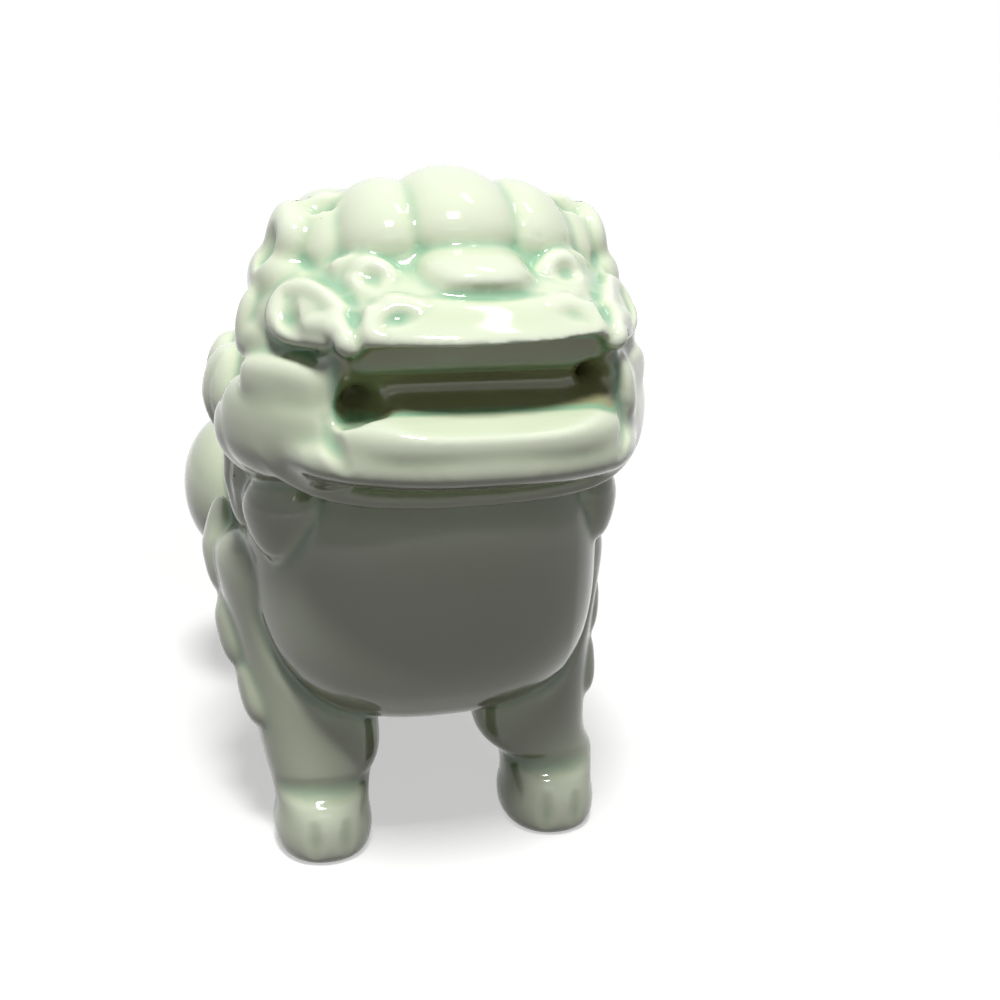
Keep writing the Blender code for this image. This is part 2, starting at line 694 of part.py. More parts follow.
def make_mane():
    for side_name, side in SIDES:
        before = ["skull", "torso", "lower_jaw", "jowl_" + side_name, "ear_" + side_name,
                  "cheek_curl_" + side_name]
        for row, angle in enumerate(SIDE_LOCK_ANGLE):
            tip_angle = SIDE_LOCK_TIP_ANGLE[row]
            top_z, tip_z = SIDE_LOCK_TOP_Z[row], SIDE_LOCK_TIP_Z[row]
            points = [round_neck(side * (angle + (tip_angle - angle) * share),
                                 top_z + (tip_z - top_z) * share) for share in (0.0, 0.5, 1.0)]
            shape = lock(points, [SIDE_LOCK_HALF_WIDTH[row]] * 3, [SIDE_LOCK_HALF_HEIGHT[row]] * 3,
                         inside_neck)
            name = "mane_lock_%s_%d" % (side_name, row + 1)
            make(name, shape, MIDDLE_GLAZE, before[:])
            before.append(name)
    before = ["skull", "torso"]
    before += ["mane_lock_%s_%d" % (side_name, row) for side_name, side in SIDES for row in (2, 3, 4)]
    before += ["ear_" + side_name for side_name, side in SIDES]
    before += ["brow_curl_centre"]
    before += ["brow_curl_%s_%d" % (side_name, row) for side_name, side in SIDES for row in (1, 2)]
    for row, angle in enumerate(NAPE_LOCK_ANGLE):
        top_z, tip_z = NAPE_LOCK_TOP_Z[row], NAPE_LOCK_TIP_Z[row]
        points = [round_neck(angle, top_z + (tip_z - top_z) * share) for share in (0.0, 0.5, 1.0)]
        shape = lock(points, [NAPE_LOCK_HALF_WIDTH] * 3, [NAPE_LOCK_HALF_HEIGHT] * 3, inside_neck)
        name = "nape_lock_%d" % (row + 1)
        make(name, shape, MIDDLE_GLAZE, before[:])
        before.append(name)


def leg(slices, around=14):
    """A leg as slices stacked from the floor up: (x, y, z, half width, half length)."""

    def shape(name, grow):
        rings = []
        for x, y, z, half_x, half_y in slices:
            level = z + (grow if (x, y, z, half_x, half_y) == slices[-1] else 0.0)
            rings.append([Vector((x + (half_x + grow) * signed_power(math.cos(a), 0.9),
                                  y + (half_y + grow) * signed_power(math.sin(a), 0.9), level))
                          for a in (2 * math.pi * j / around for j in range(around))])
        low = Vector((slices[0][0], slices[0][1], slices[0][2]))
        high = Vector((slices[-1][0], slices[-1][1], slices[-1][2] + grow))
        return skin(name, rings, low, high)

    return shape


def paw(x, y, half_width, half_length):
    """The slices of a paw, from its flat sole to the ankle."""
    return [(x, y, share * PAW_HEIGHT, half_width * swell, half_length * swell)
            for share, swell in ((0.0, 0.84), (0.12, 0.96), (0.40, 1.0), (0.75, 0.94))]


def toe_groove(name, x, front_y):
    """A cutter for the groove that parts the toes down the front of a paw."""
    reach = TOE_GROOVE_HEIGHT
    centre = Vector((x, front_y - reach / 2 + TOE_GROOVE_DEPTH, PAW_HEIGHT * 0.35))
    return hollow("toe_groove_" + name, egg(centre, (TOE_GROOVE_WIDTH / 2, reach / 2, reach / 2),
                                            2.0, None, 8, 8))


def make_legs():
    front_leg_x = barrel_slice(FRONT_LEG_Y)[0] - FRONT_LEG_INSET
    shoulder_x = barrel_slice(SHOULDER_Y)[0] - SHOULDER_INSET
    haunch_x = barrel_side(HAUNCH_Y, HAUNCH_Z) - HAUNCH_INSET
    rear_leg_x = barrel_slice(REAR_LEG_Y)[0] - REAR_LEG_INSET
    for side_name, side in SIDES:
        paw_x = side * (front_leg_x + FRONT_PAW_SPLAY) + STANCE_SHIFT
        slices = paw(paw_x, FRONT_PAW_Y, FRONT_PAW_HALF_WIDTH, FRONT_PAW_HALF_LENGTH)
        slices.append((paw_x, (FRONT_PAW_Y + FRONT_LEG_Y) / 2, PAW_HEIGHT * 1.15,
                       FRONT_LEG_HALF_WIDTH * 0.84, FRONT_LEG_HALF_LENGTH * 0.86))
        belly = CHEST_MID_Z - CHEST_HALF_HEIGHT
        slices.append((side * front_leg_x, FRONT_LEG_Y, belly,
                       FRONT_LEG_HALF_WIDTH, FRONT_LEG_HALF_LENGTH))
        slices.append((side * (front_leg_x + shoulder_x) / 2, (FRONT_LEG_Y + SHOULDER_Y) / 2,
                       (belly + SHOULDER_TOP_Z) / 2,
                       SHOULDER_HALF_WIDTH, (FRONT_LEG_HALF_LENGTH + SHOULDER_HALF_LENGTH) / 2))
        slices.append((side * shoulder_x, SHOULDER_Y, SHOULDER_TOP_Z * 0.85 + belly * 0.15,
                       SHOULDER_HALF_WIDTH, SHOULDER_HALF_LENGTH))
        slices.append((side * shoulder_x, SHOULDER_Y, SHOULDER_TOP_Z * 0.96 + belly * 0.04,
                       SHOULDER_HALF_WIDTH * 0.84, SHOULDER_HALF_LENGTH * 0.74))
        slices.append((side * shoulder_x, SHOULDER_Y, SHOULDER_TOP_Z,
                       SHOULDER_HALF_WIDTH * 0.5, SHOULDER_HALF_LENGTH * 0.4))
        front_leg = make("front_leg_" + side_name, leg(slices), PALE_GLAZE, ("torso",))
        cut(front_leg, toe_groove("front_" + side_name, paw_x, FRONT_PAW_Y - FRONT_PAW_HALF_LENGTH))
        centre = Vector((side * haunch_x, HAUNCH_Y, HAUNCH_Z))
        make("haunch_" + side_name,
             egg(centre, (HAUNCH_HALF_WIDTH, HAUNCH_HALF_LENGTH, HAUNCH_HALF_HEIGHT), 2.1, None, 18, 12),
             PALE_GLAZE, ("torso",))
        slices = paw(side * rear_leg_x, REAR_PAW_Y, REAR_PAW_HALF_WIDTH, REAR_PAW_HALF_LENGTH)
        for share in (0.0, 0.45, 1.0):
            z = PAW_HEIGHT * 1.25 + (RUMP_MID_Z - RUMP_HALF_HEIGHT * 0.3 - PAW_HEIGHT * 1.25) * share
            slices.append((side * rear_leg_x, REAR_LEG_Y, z, REAR_LEG_HALF_WIDTH * (0.86 + 0.2 * share),
                           REAR_LEG_HALF_LENGTH * (0.84 + 0.25 * share)))
        rear_leg = make("rear_leg_" + side_name, leg(slices), PALE_GLAZE, ("torso", "haunch_" + side_name))
        cut(rear_leg, toe_groove("rear_" + side_name, side * rear_leg_x, REAR_PAW_Y - REAR_PAW_HALF_LENGTH))
        before = ["torso", "front_leg_" + side_name, "mane_lock_%s_1" % side_name,
                  "mane_lock_%s_2" % side_name]
        for row, y in enumerate(TUFT_Y):
            z = TUFT_Z[row]
            x = side * (shoulder_x + TUFT_OUT[row])
            low = Vector((x - side * TUFT_HALF_LENGTH * 0.2, y - TUFT_HALF_LENGTH * 0.3,
                          z - TUFT_HALF_LENGTH))
            belly = Vector((x, y, z))
            tip = Vector((x, y + TUFT_HALF_LENGTH * 0.6, z + TUFT_HALF_LENGTH))
            name = "shoulder_tuft_%s_%d" % (side_name, row + 1)
            make(name, lock([low, belly, tip], [TUFT_HALF_WIDTH] * 3, [TUFT_HALF_HEIGHT] * 3,
                            inside_barrel), MIDDLE_GLAZE, before[:])
            before.append(name)


def make_tail():
    root = Vector((0, RUMP_BACK_Y - TAIL_HALF_THICKNESS, TAIL_ROOT_Z))
    height = TAIL_TIP_Z - TAIL_ROOT_Z
    bend = Vector((0, RUMP_BACK_Y + TAIL_REACH - TAIL_HALF_THICKNESS, TAIL_ROOT_Z + height * 0.33))
    over = Vector((0, RUMP_BACK_Y + TAIL_REACH * 0.8 - TAIL_HALF_THICKNESS, TAIL_ROOT_Z + height * 0.7))
    tip = Vector((0, RUMP_BACK_Y - TAIL_REACH * 0.3, TAIL_TIP_Z))

    def before_tail(point):
        return Vector((0, CUP_Y, TAIL_ROOT_Z))

    widths = [TAIL_ROOT_HALF_WIDTH, TAIL_HALF_WIDTH, TAIL_HALF_WIDTH, TAIL_TIP_HALF_WIDTH]
    make("tail", lock([root, bend, over, tip], widths, [TAIL_HALF_THICKNESS] * 4,
                      before_tail, True, 14, 12), PALE_GLAZE, ("torso",))
    for side_name, side in SIDES:
        centre = Vector((side * TAIL_CURL_X, TAIL_CURL_Y, TAIL_CURL_Z))
        make("tail_curl_" + side_name,
             curl(centre, Vector((side * 0.5, 1, 0)), math.radians(200), TAIL_CURL_RADIUS,
                  TAIL_CURL_THICKNESS, side), MIDDLE_GLAZE, ("torso", "tail"))


def centre_over_origin():
    """Stand the figure so that the middle of its length is over the origin."""
    bpy.context.view_layer.update()
    depsgraph = bpy.context.evaluated_depsgraph_get()
    reach = []
    for name in shapes:
        piece = bpy.data.objects[name].evaluated_get(depsgraph)
        reach += [corner[1] for corner in piece.bound_box]
    figure.location.y = -(min(reach) + max(reach)) / 2


clear_scene()
figure = bpy.data.objects.new("figure", None)
bpy.context.scene.collection.objects.link(figure)
make_body()
make_head()
make_jaws()
make_face()
make_brow()
make_mane()
make_legs()
make_tail()
centre_over_origin()
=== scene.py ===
"""Foo dog candle holder in celadon glaze: the finished clay surface, the glaze, and the studio."""

import math

import bmesh
import bpy
import numpy as np
from mathutils import Matrix, Vector
from mathutils.bvhtree import BVHTree

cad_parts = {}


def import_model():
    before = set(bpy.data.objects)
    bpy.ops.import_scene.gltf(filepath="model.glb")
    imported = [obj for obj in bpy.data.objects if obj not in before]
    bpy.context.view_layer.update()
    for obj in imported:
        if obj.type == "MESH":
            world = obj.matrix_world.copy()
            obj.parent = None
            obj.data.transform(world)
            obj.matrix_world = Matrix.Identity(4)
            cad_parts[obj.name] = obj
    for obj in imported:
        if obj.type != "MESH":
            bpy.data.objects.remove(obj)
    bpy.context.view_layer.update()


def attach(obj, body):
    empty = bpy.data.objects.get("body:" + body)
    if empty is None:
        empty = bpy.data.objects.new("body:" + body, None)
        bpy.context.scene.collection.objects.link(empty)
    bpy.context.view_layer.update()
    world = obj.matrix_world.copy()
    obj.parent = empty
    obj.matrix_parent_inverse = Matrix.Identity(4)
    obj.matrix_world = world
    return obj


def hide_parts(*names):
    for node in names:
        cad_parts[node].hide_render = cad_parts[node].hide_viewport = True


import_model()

# The pieces are laid out from the middle of the body, and the whole figure then goes
# forward or back by this much, so that it stands over the origin as the frame does.
STAND = 0.00177

CLAY_GRAIN = 0.00045
FINE = 1.0
SIDES = (("left", 1.0), ("right", -1.0))


def v(x, y, z):
    """A point in millimetres."""
    return Vector((x, y, z)) * 0.001


def deselect():
    if bpy.context.object and bpy.context.object.mode != "OBJECT":
        bpy.ops.object.mode_set(mode="OBJECT")
    bpy.ops.object.select_all(action="DESELECT")


def only(piece):
    deselect()
    piece.select_set(True)
    bpy.context.view_layer.objects.active = piece


def apply_modifier(piece, kind, **settings):
    only(piece)
    modifier = piece.modifiers.new(kind.lower(), kind)
    for key, value in settings.items():
        setattr(modifier, key, value)
    bpy.ops.object.modifier_apply(modifier=modifier.name)


def power(value, exponent):
    return np.sign(value) * np.abs(value) ** exponent


# Lumps, rolls, curls and stacks: the ways a piece of clay gets its first shape

def ball_points(around, along):
    """Longitude and latitude of a ball's vertices, in the order of the primitive."""
    deselect()
    bpy.ops.mesh.primitive_uv_sphere_add(segments=around, ring_count=along, radius=1.0)
    ball = bpy.context.object
    points = np.empty(len(ball.data.vertices) * 3)
    ball.data.vertices.foreach_get("co", points)
    points = points.reshape(-1, 3)
    return ball, np.arctan2(points[:, 1], points[:, 0]), np.arcsin(np.clip(points[:, 2], -1, 1))


def lump(place, half, blunt=2.0, rim=None, narrow=0.0, turn=None, grow=0.0, around=56, along=36):
    """A ball pressed to a size, in millimetres; blunter than an egg where blunt is above 2."""
    ball, lon, lat = ball_points(int(around * FINE), int(along * FINE))
    rim = rim or blunt
    level = power(np.sin(lat), 2.0 / rim)
    width = power(np.cos(lat), 2.0 / rim)
    reach = np.array(half) + grow
    points = np.stack([reach[0] * width * power(np.cos(lon), 2.0 / blunt) * (1.0 - narrow * level),
                       reach[1] * width * power(np.sin(lon), 2.0 / blunt),
                       reach[2] * level], axis=1) * 0.001
    if turn is not None:
        points = points @ np.array(turn).T
    points += np.array(place) * 0.001
    ball.data.vertices.foreach_set("co", points.ravel())
    return ball


def tube(rings, first, last):
    """A closed body over a row of rings, with a point at each end."""
    count = len(rings[0])
    points = [tuple(p) for ring in rings for p in ring] + [tuple(first), tuple(last)]
    faces = []
    for k in range(len(rings) - 1):
        for i in range(count):
            j = (i + 1) % count
            faces.append((k * count + i, k * count + j, (k + 1) * count + j, (k + 1) * count + i))
    start, end = len(points) - 2, len(points) - 1
    top = (len(rings) - 1) * count
    for i in range(count):
        j = (i + 1) % count
        faces.append((start, j, i))
        faces.append((end, top + i, top + j))
    mesh = bpy.data.meshes.new("clay")
    mesh.from_pydata(points, [], faces)
    piece = bpy.data.objects.new("clay", mesh)
    bpy.context.scene.collection.objects.link(piece)
    only(piece)
    bpy.ops.object.mode_set(mode="EDIT")
    bpy.ops.mesh.select_all(action="SELECT")
    bpy.ops.mesh.normals_make_consistent(inside=False)
    bpy.ops.object.mode_set(mode="OBJECT")
    return piece


def along_curve(values, t):
    """The value at t, 0 to 1, on a smooth curve through a row of values."""
    last = len(values) - 1
    place = min(max(t, 0.0), 1.0) * last
    i = min(int(place), last - 1)
    f = place - i
    a, b = values[max(i - 1, 0)], values[i]
    c, d = values[i + 1], values[min(i + 2, last)]
    return 0.5 * ((b * 2) + (c - a) * f + (a * 2 - b * 5 + c * 4 - d) * f ** 2
                  + (b * 3 - a - c * 3 + d) * f ** 3)


def roll(spine, widths, heights, away, ends=(0.35, 0.45), sharp=0.75, grow=0.0, around=28, along=44):
    """A roll of clay along a curve, wider than high, its back facing away from a middle.

    ends gives the share of the length over which it swells and dies away."""
    around, along = int(around * FINE), int(along * FINE)
    spine = [v(*p) for p in spine]
    rings = []
    for k in range(1, along):
        t = 0.5 - 0.5 * math.cos(math.pi * k / along)
        middle = along_curve(spine, t)
        ahead = (along_curve(spine, t + 0.02) - along_curve(spine, t - 0.02)).normalized()
        up = middle - away(middle)
        up = (up - ahead * up.dot(ahead)).normalized()
        side = ahead.cross(up)
        swell = math.sqrt(max(1.0 - (1.0 - min(t / ends[0], 1.0)) ** 2, 0.0))
        swell *= min((1.0 - t) / ends[1], 1.0) ** sharp
        half_width = (along_curve(widths, t) * swell + grow) * 0.001
        half_height = (along_curve(heights, t) * swell + grow) * 0.001
        rings.append([middle + side * half_width * math.cos(2 * math.pi * j / around)
                      + up * half_height * math.sin(2 * math.pi * j / around)
                      for j in range(around)])
    first = spine[0] + (spine[0] - along_curve(spine, 0.05)).normalized() * grow * 0.001
    last = spine[-1] + (spine[-1] - along_curve(spine, 0.95)).normalized() * grow * 0.001
    return tube(rings, first, last)


def curl(centre, outward, start, radius, thick, hand, turns=1.25, inward=0.82, high=1.2, lift=0.25):
    """A volute that lies on a surface, wound in towards its middle."""
    centre = v(*centre)
    outward = Vector(outward).normalized()
    across = Vector((0, 0, 1)).cross(outward).normalized() * hand
    upward = outward.cross(across).normalized() * hand
    around, along = int(20 * FINE), int(64 * FINE)

    def place(t):
        angle = math.radians(start) + 2 * math.pi * turns * t
        reach = radius * (1.0 - inward * t) * 0.001
        return (centre + across * reach * math.cos(angle) + upward * reach * math.sin(angle)
                + outward * thick * lift * t * 0.001)

    rings = []
    for k in range(1, along):
        t = k / along
        ahead = (place(t + 0.01) - place(t - 0.01)).normalized()
        side = ahead.cross(outward).normalized()
        swell = math.sqrt(math.sin(math.pi * min(t / 0.22, 1.0) / 2))
        swell *= math.sqrt(math.sin(math.pi * min((1 - t) / 0.10, 1.0) / 2))
        half = thick / 2 * (1.0 - 0.45 * t) * swell * 0.001
        rings.append([place(t) + side * half * math.cos(2 * math.pi * j / around)
                      + outward * half * high * math.sin(2 * math.pi * j / around)
                      for j in range(around)])
    return tube(rings, place(0.0), place(1.0))


def stack(slices, grow=0.0, around=44):
    """A leg: slices from the floor up, (x, y, z, half width, half length) in millimetres."""
    around = int(around * FINE)
    rows = [np.array(row, dtype=float) for row in slices]
    steps = int(10 * FINE)
    rings = []
    count = (len(rows) - 1) * steps
    for k in range(count + 1):
        x, y, z, half_x, half_y = along_curve(rows, k / count)
        z += grow if k == count else 0.0
        rings.append([v(x + (half_x + grow) * float(power(math.cos(a), 0.9)),
                        y + (half_y + grow) * float(power(math.sin(a), 0.9)), z)
                      for a in (2 * math.pi * j / around for j in range(around))])
    low, high = rows[0], rows[-1]
    return tube(rings, v(low[0], low[1], low[2]), v(high[0], high[1], high[2] + grow))


def spun(profile, centre, around=96):
    """A thrown shape: a profile of radius and height spun about an upright axis."""
    around = int(around * FINE)
    deselect()
    mesh = bpy.data.meshes.new("clay")
    points = [(radius * 0.001, 0.0, height * 0.001) for radius, height in profile]
    mesh.from_pydata(points, [(i, i + 1) for i in range(len(points) - 1)], [])
    piece = bpy.data.objects.new("clay", mesh)
    bpy.context.scene.collection.objects.link(piece)
    only(piece)
    bpy.ops.object.mode_set(mode="EDIT")
    bpy.ops.mesh.select_all(action="SELECT")
    bpy.ops.mesh.spin(steps=around, angle=2 * math.pi, center=(0, 0, 0), axis=(0, 0, 1))
    bpy.ops.mesh.select_all(action="SELECT")
    bpy.ops.mesh.remove_doubles(threshold=0.00001)
    bpy.ops.mesh.normals_make_consistent(inside=False)
    bpy.ops.object.mode_set(mode="OBJECT")
    for vertex in mesh.vertices:
        vertex.co += v(*centre)
    return piece


# The barrel of the body and the head, whose surfaces carry everything else

BARREL = dict(front=-54.0, back=61.0, chest=(37.0, 35.5, 55.5), rump=(30.0, 24.0, 56.0))
HEAD = dict(middle=(0.0, -29.0, 96.0), half=(32.5, 30.0, 24.5), blunt=2.8, narrow=0.22)


def barrel_slice(y):
    """Half width, half height and mid height of the barrel at y."""
    middle = (BARREL["front"] + BARREL["back"]) / 2
    half = (BARREL["back"] - BARREL["front"]) / 2
    t = max(-1.0, min(1.0, (y - middle) / half))
    swell = (1.0 - abs(t) ** 3.2) ** (1.0 / 3.2)
    share = (t + 1.0) / 2
    width, height, level = [a + (b - a) * share for a, b in zip(BARREL["chest"], BARREL["rump"])]
    return width * swell, height * swell, level


def barrel(grow=0.0):
    middle = (BARREL["front"] + BARREL["back"]) / 2
    half = (BARREL["back"] - BARREL["front"]) / 2
    around, along = int(110 * FINE), int(96 * FINE)
    rings = []
    for k in range(1, along):
        t = -math.cos(math.pi * k / along)
        width, height, level = barrel_slice(middle + half * t)
        rings.append([v((width + grow) * float(power(math.cos(a), 2.0 / 2.6)), middle + (half + grow) * t,
                        level + (height + grow) * float(power(math.sin(a), 2.0 / 2.6)))
                      for a in (2 * math.pi * j / around for j in range(around))])
    return tube(rings, v(0, BARREL["front"] - grow, BARREL["chest"][2]),
                v(0, BARREL["back"] + grow, BARREL["rump"][2]))


def head(grow=0.0):
    return lump(HEAD["middle"], HEAD["half"], HEAD["blunt"], None, HEAD["narrow"], None, grow, 96, 72)


def reach_left(first, second):
    left = 1.0 - min(abs(first) ** HEAD["blunt"] + abs(second) ** HEAD["blunt"], 1.0)
    return left ** (1.0 / HEAD["blunt"])


def head_half_width(z):
    return HEAD["half"][0] * (1.0 - HEAD["narrow"] * (z - HEAD["middle"][2]) / HEAD["half"][2])


def face_y(x, z):
    return HEAD["middle"][1] - HEAD["half"][1] * reach_left(
        x / head_half_width(z), (z - HEAD["middle"][2]) / HEAD["half"][2])


def head_side(y, z):
    return head_half_width(z) * reach_left((y - HEAD["middle"][1]) / HEAD["half"][1],
                                           (z - HEAD["middle"][2]) / HEAD["half"][2])


def head_top(x, y):
    crown = HEAD["half"][0] * (1.0 - HEAD["narrow"])
    return HEAD["middle"][2] + HEAD["half"][2] * reach_left(
        x / crown, (y - HEAD["middle"][1]) / HEAD["half"][1])


def within_head(x, y, z):
    if abs(z - HEAD["middle"][2]) >= HEAD["half"][2] or abs(y - HEAD["middle"][1]) >= HEAD["half"][1]:
        return False
    return abs(x) < head_side(y, z)


def barrel_side(y, z):
    width, height, level = barrel_slice(y)
    if height <= 0.0:
        return 0.0
    share = min(abs(z - level) / height, 1.0)
    return width * (1.0 - share ** 2.6) ** (1.0 / 2.6)


def within_barrel(x, y, z):
    if not BARREL["front"] < y < BARREL["back"]:
        return False
    width, height, level = barrel_slice(y)
    return abs(z - level) < height and abs(x) < barrel_side(y, z)


NECK_Y = -26.0


def round_neck(degrees, z, out=0.0):
    """The outermost point of head or barrel at a height, seen round the neck, 0 at the face."""
    angle = math.radians(degrees)
    low, high = 0.0, 70.0
    for step in range(24):
        reach = (low + high) / 2
        x, y = math.sin(angle) * reach, NECK_Y - math.cos(angle) * reach
        if within_head(x, y, z) or within_barrel(x, y, z):
            low = reach
        else:
            high = reach
    return (math.sin(angle) * (low + out), NECK_Y - math.cos(angle) * (low + out), z)


def from_head(point):
    return v(*HEAD["middle"])


def from_barrel(point):
    return Vector((0, point.y, BARREL["chest"][2] * 0.001))


def from_neck(point):
    return Vector((0, NECK_Y * 0.001, point.z))


def plate(levels, centre, half, blunt, grow=0.0, around=128):
    """A ledge that goes round the face: (height, share of length, share of width) from below."""
    around = int(around * FINE)
    steps = int(6 * FINE) + 1
    rows = [np.array(row, dtype=float) for row in levels]
    count = (len(rows) - 1) * steps
    rings = []
    for k in range(count + 1):
        z, long, wide = along_curve(rows, k / count)
        z += grow * (2.0 * k / count - 1.0)
        rings.append([v(centre[0] + (half[0] * wide + grow) * float(power(math.cos(a), 2.0 / blunt)),
                        centre[1] + (half[1] * long + grow) * float(power(math.sin(a), 2.0 / blunt)), z)
                      for a in (2 * math.pi * j / around for j in range(around))])
    return tube(rings, v(centre[0], centre[1], rows[0][0] - grow), v(centre[0], centre[1], rows[-1][0] + grow))


def mouth_hollow():
    """The open mouth: under the lip a gum, behind it the back wall, and the slope of the jaw."""
    profile = [(-95, 85.0), (-78, 85.2), (-74.4, 87.7), (-70.5, 89.5), (-66.0, 90.7), (-63.2, 91.4),
               (-61.8, 92.2), (-61.6, 94.2), (-62.4, 95.2), (-64.6, 95.8), (-65.4, 96.8),
               (-65.8, 101.3), (-95, 101.3)]
    rings = []
    for k in range(-30, 31):
        x = 22.6 * math.sin(math.pi / 2 * k / 31)
        step = min(max((abs(x) - 17.2) / 3.6, 0.0), 1.0)
        step = step * step * (3.0 - 2.0 * step)
        shut = 1.0 - math.sqrt(max(1.0 - (max(abs(x) - 20.4, 0.0) / 2.3) ** 2, 0.0))
        rings.append([v(x, y + (-78.0 - y) * shut * 0.6 if y > -78 else y,
                        z + (0.035 * x - 2.3 * step if z > 96.5 else 0.0) + (93.0 - z) * shut * 0.8)
                      for y, z in profile])
    return tube(rings, v(-22.6, -85, 93), v(22.6, -85, 93))


def facing(direction):
    return Vector(direction).normalized().to_track_quat("Z", "Y").to_matrix()


def tilt(degrees, axis):
    return Matrix.Rotation(math.radians(degrees), 3, axis)


# Tool marks: a tool drawn over the clay raises it or presses it in

class Surface:
    """The clay as it stands, to find where a mark drawn on it lies."""

    def __init__(self, piece):
        self.tree = BVHTree.FromObject(piece, bpy.context.evaluated_depsgraph_get())

    def hit(self, start, direction):
        place, normal, face, distance = self.tree.ray_cast(v(*start), Vector(direction))
        return place

    def front(self, x, z):
        return self.hit((x, -120, z), (0, 1, 0))

    def back(self, x, z):
        return self.hit((x, 120, z), (0, -1, 0))

    def beside(self, side, y, z):
        return self.hit((side * 90, y, z), (-side, 0, 0))

    def above(self, x, y):
        return self.hit((x, y, 200), (0, 0, -1))


def draw(piece, marks):
    """Draw marks on the clay: each a line of points with its half widths and heights."""
    points, normals = read(piece)
    points = points * 1000.0
    for line, widths, heights, blunt in marks:
        count = max(6 * (len(line) - 1), 2)
        steps = [i / count for i in range(count + 1)]
        path = np.array([along_curve([p * 1000.0 for p in line], t) for t in steps])
        wide = np.array([along_curve(widths, t) for t in steps])
        high = np.array([along_curve(heights, t) for t in steps])
        reach = wide.max()
        near = np.all((points > path.min(axis=0) - reach) & (points < path.max(axis=0) + reach), axis=1)
        index = np.nonzero(near)[0]
        spots = points[index]
        best = np.full(len(index), 9e9)
        lift = np.zeros(len(index))
        for a, b, wa, wb, ha, hb in zip(path, path[1:], wide, wide[1:], high, high[1:]):
            span = b - a
            share = np.clip(((spots - a) @ span) / max(span @ span, 1e-9), 0.0, 1.0)
            gap = np.linalg.norm(spots - a - share[:, None] * span, axis=1)
            half = wa + (wb - wa) * share
            fall = np.clip(1.0 - (gap / np.maximum(half, 1e-6)) ** 2, 0.0, 1.0) ** blunt
            closer = gap / np.maximum(half, 1e-6) < best
            best = np.where(closer, gap / np.maximum(half, 1e-6), best)
            lift = np.where(closer, fall * (ha + (hb - ha) * share), lift)
        points[index] += normals[index] * lift[:, None]
    write(piece, points * 0.001)


def mark(line, width, height, ends=0.0, blunt=1.6):
    """A mark of one width and height; ends is the share of them that its two tips keep."""
    count = len(line)
    shape = [ends + (1.0 - ends) * math.sin(math.pi * i / (count - 1)) ** 0.5 if count > 2 else 1.0
             for i in range(count)]
    if count == 2:
        shape = [max(ends, 0.5)] * 2
    return line, [width * (0.5 + 0.5 * k) for k in shape], [height * k for k in shape], blunt


# Every piece of clay: its forms, and the space it claims of the finished skin

clay = []
details = []
claims = []
holes = []
strands = []


def claim(node, piece):
    piece.name = node + "_claim"
    claims.append((node, piece))


def zone_of(node):
    """The part of the figure that a piece is cut out with."""
    if node == "candle_cup":
        return "cup"
    if node.startswith(("mane", "nape", "ear")):
        return "mane"
    if node.startswith(("front", "shoulder")):
        return "shoulders"
    if node.startswith(("haunch", "rear", "tail")):
        return "rump"
    return "face"


def add(*pieces):
    clay.extend(pieces)


def add_after(*pieces):
    """What goes on once the hollows are cut."""
    details.extend(pieces)


def make_body():
    add(barrel())
    back = barrel_slice(20.0)
    top = back[2] + back[1]
    rim = top + 11.0
    floor = rim - 22.0
    bore, outer = 11.3, 14.9
    profile = [(0.0, floor - 4.5), (outer, floor - 4.5), (outer, top - 3.8), (outer + 3.4, top - 3.8),
               (outer + 3.4, top + 0.6), (outer + 2.9, top + 2.0), (outer + 0.4, top + 3.6),
               (outer, rim - 3.2), (outer + 0.9, rim - 2.4), (outer + 1.4, rim - 1.4),
               (outer + 0.9, rim - 0.4), (outer, rim), (0.0, rim)]
    add(spun(profile, (0, 20.0, 0)))
    holes.append(spun([(0.0, floor), (bore - 0.6, floor), (bore, floor + 0.6), (bore, rim - 1.0),
                       (bore + 0.5, rim - 0.2), (bore + 1.4, rim + 1.0), (0.0, rim + 1.0)], (0, 20.0, 0)))
    claim("candle_cup", spun([(0.0, floor - 5.0), (outer + 4.3, floor - 5.0), (outer + 4.3, rim + 1.0),
                              (0.0, rim + 1.0)], (0, 20.0, 0)))


def make_head():
    add(head())
    # the mouth, with a deep pit at each corner, the right one of them lower
    holes.append(mouth_hollow())
    for name, side in SIDES:
        height, size = (94.4, 0.64) if name == "left" else (91.2, 0.92)
        for x, y, up, wide, deep, high in ((18.4, -64.6, 0.0, 5.4, 3.2, 4.2), (18.4, -62.4, 0.0, 4.0, 5.0, 3.3),
                                           (18.4, -60.4, 0.0, 2.8, 7.6, 2.3), (20.8, -66.4, 4.2, 2.6, 3.4, 4.6)):
            holes.append(lump((side * x, y, height + up * size), (wide * size, deep, high * size), 2.0, None, 0.0,
                              tilt(side * 25, "Y")))


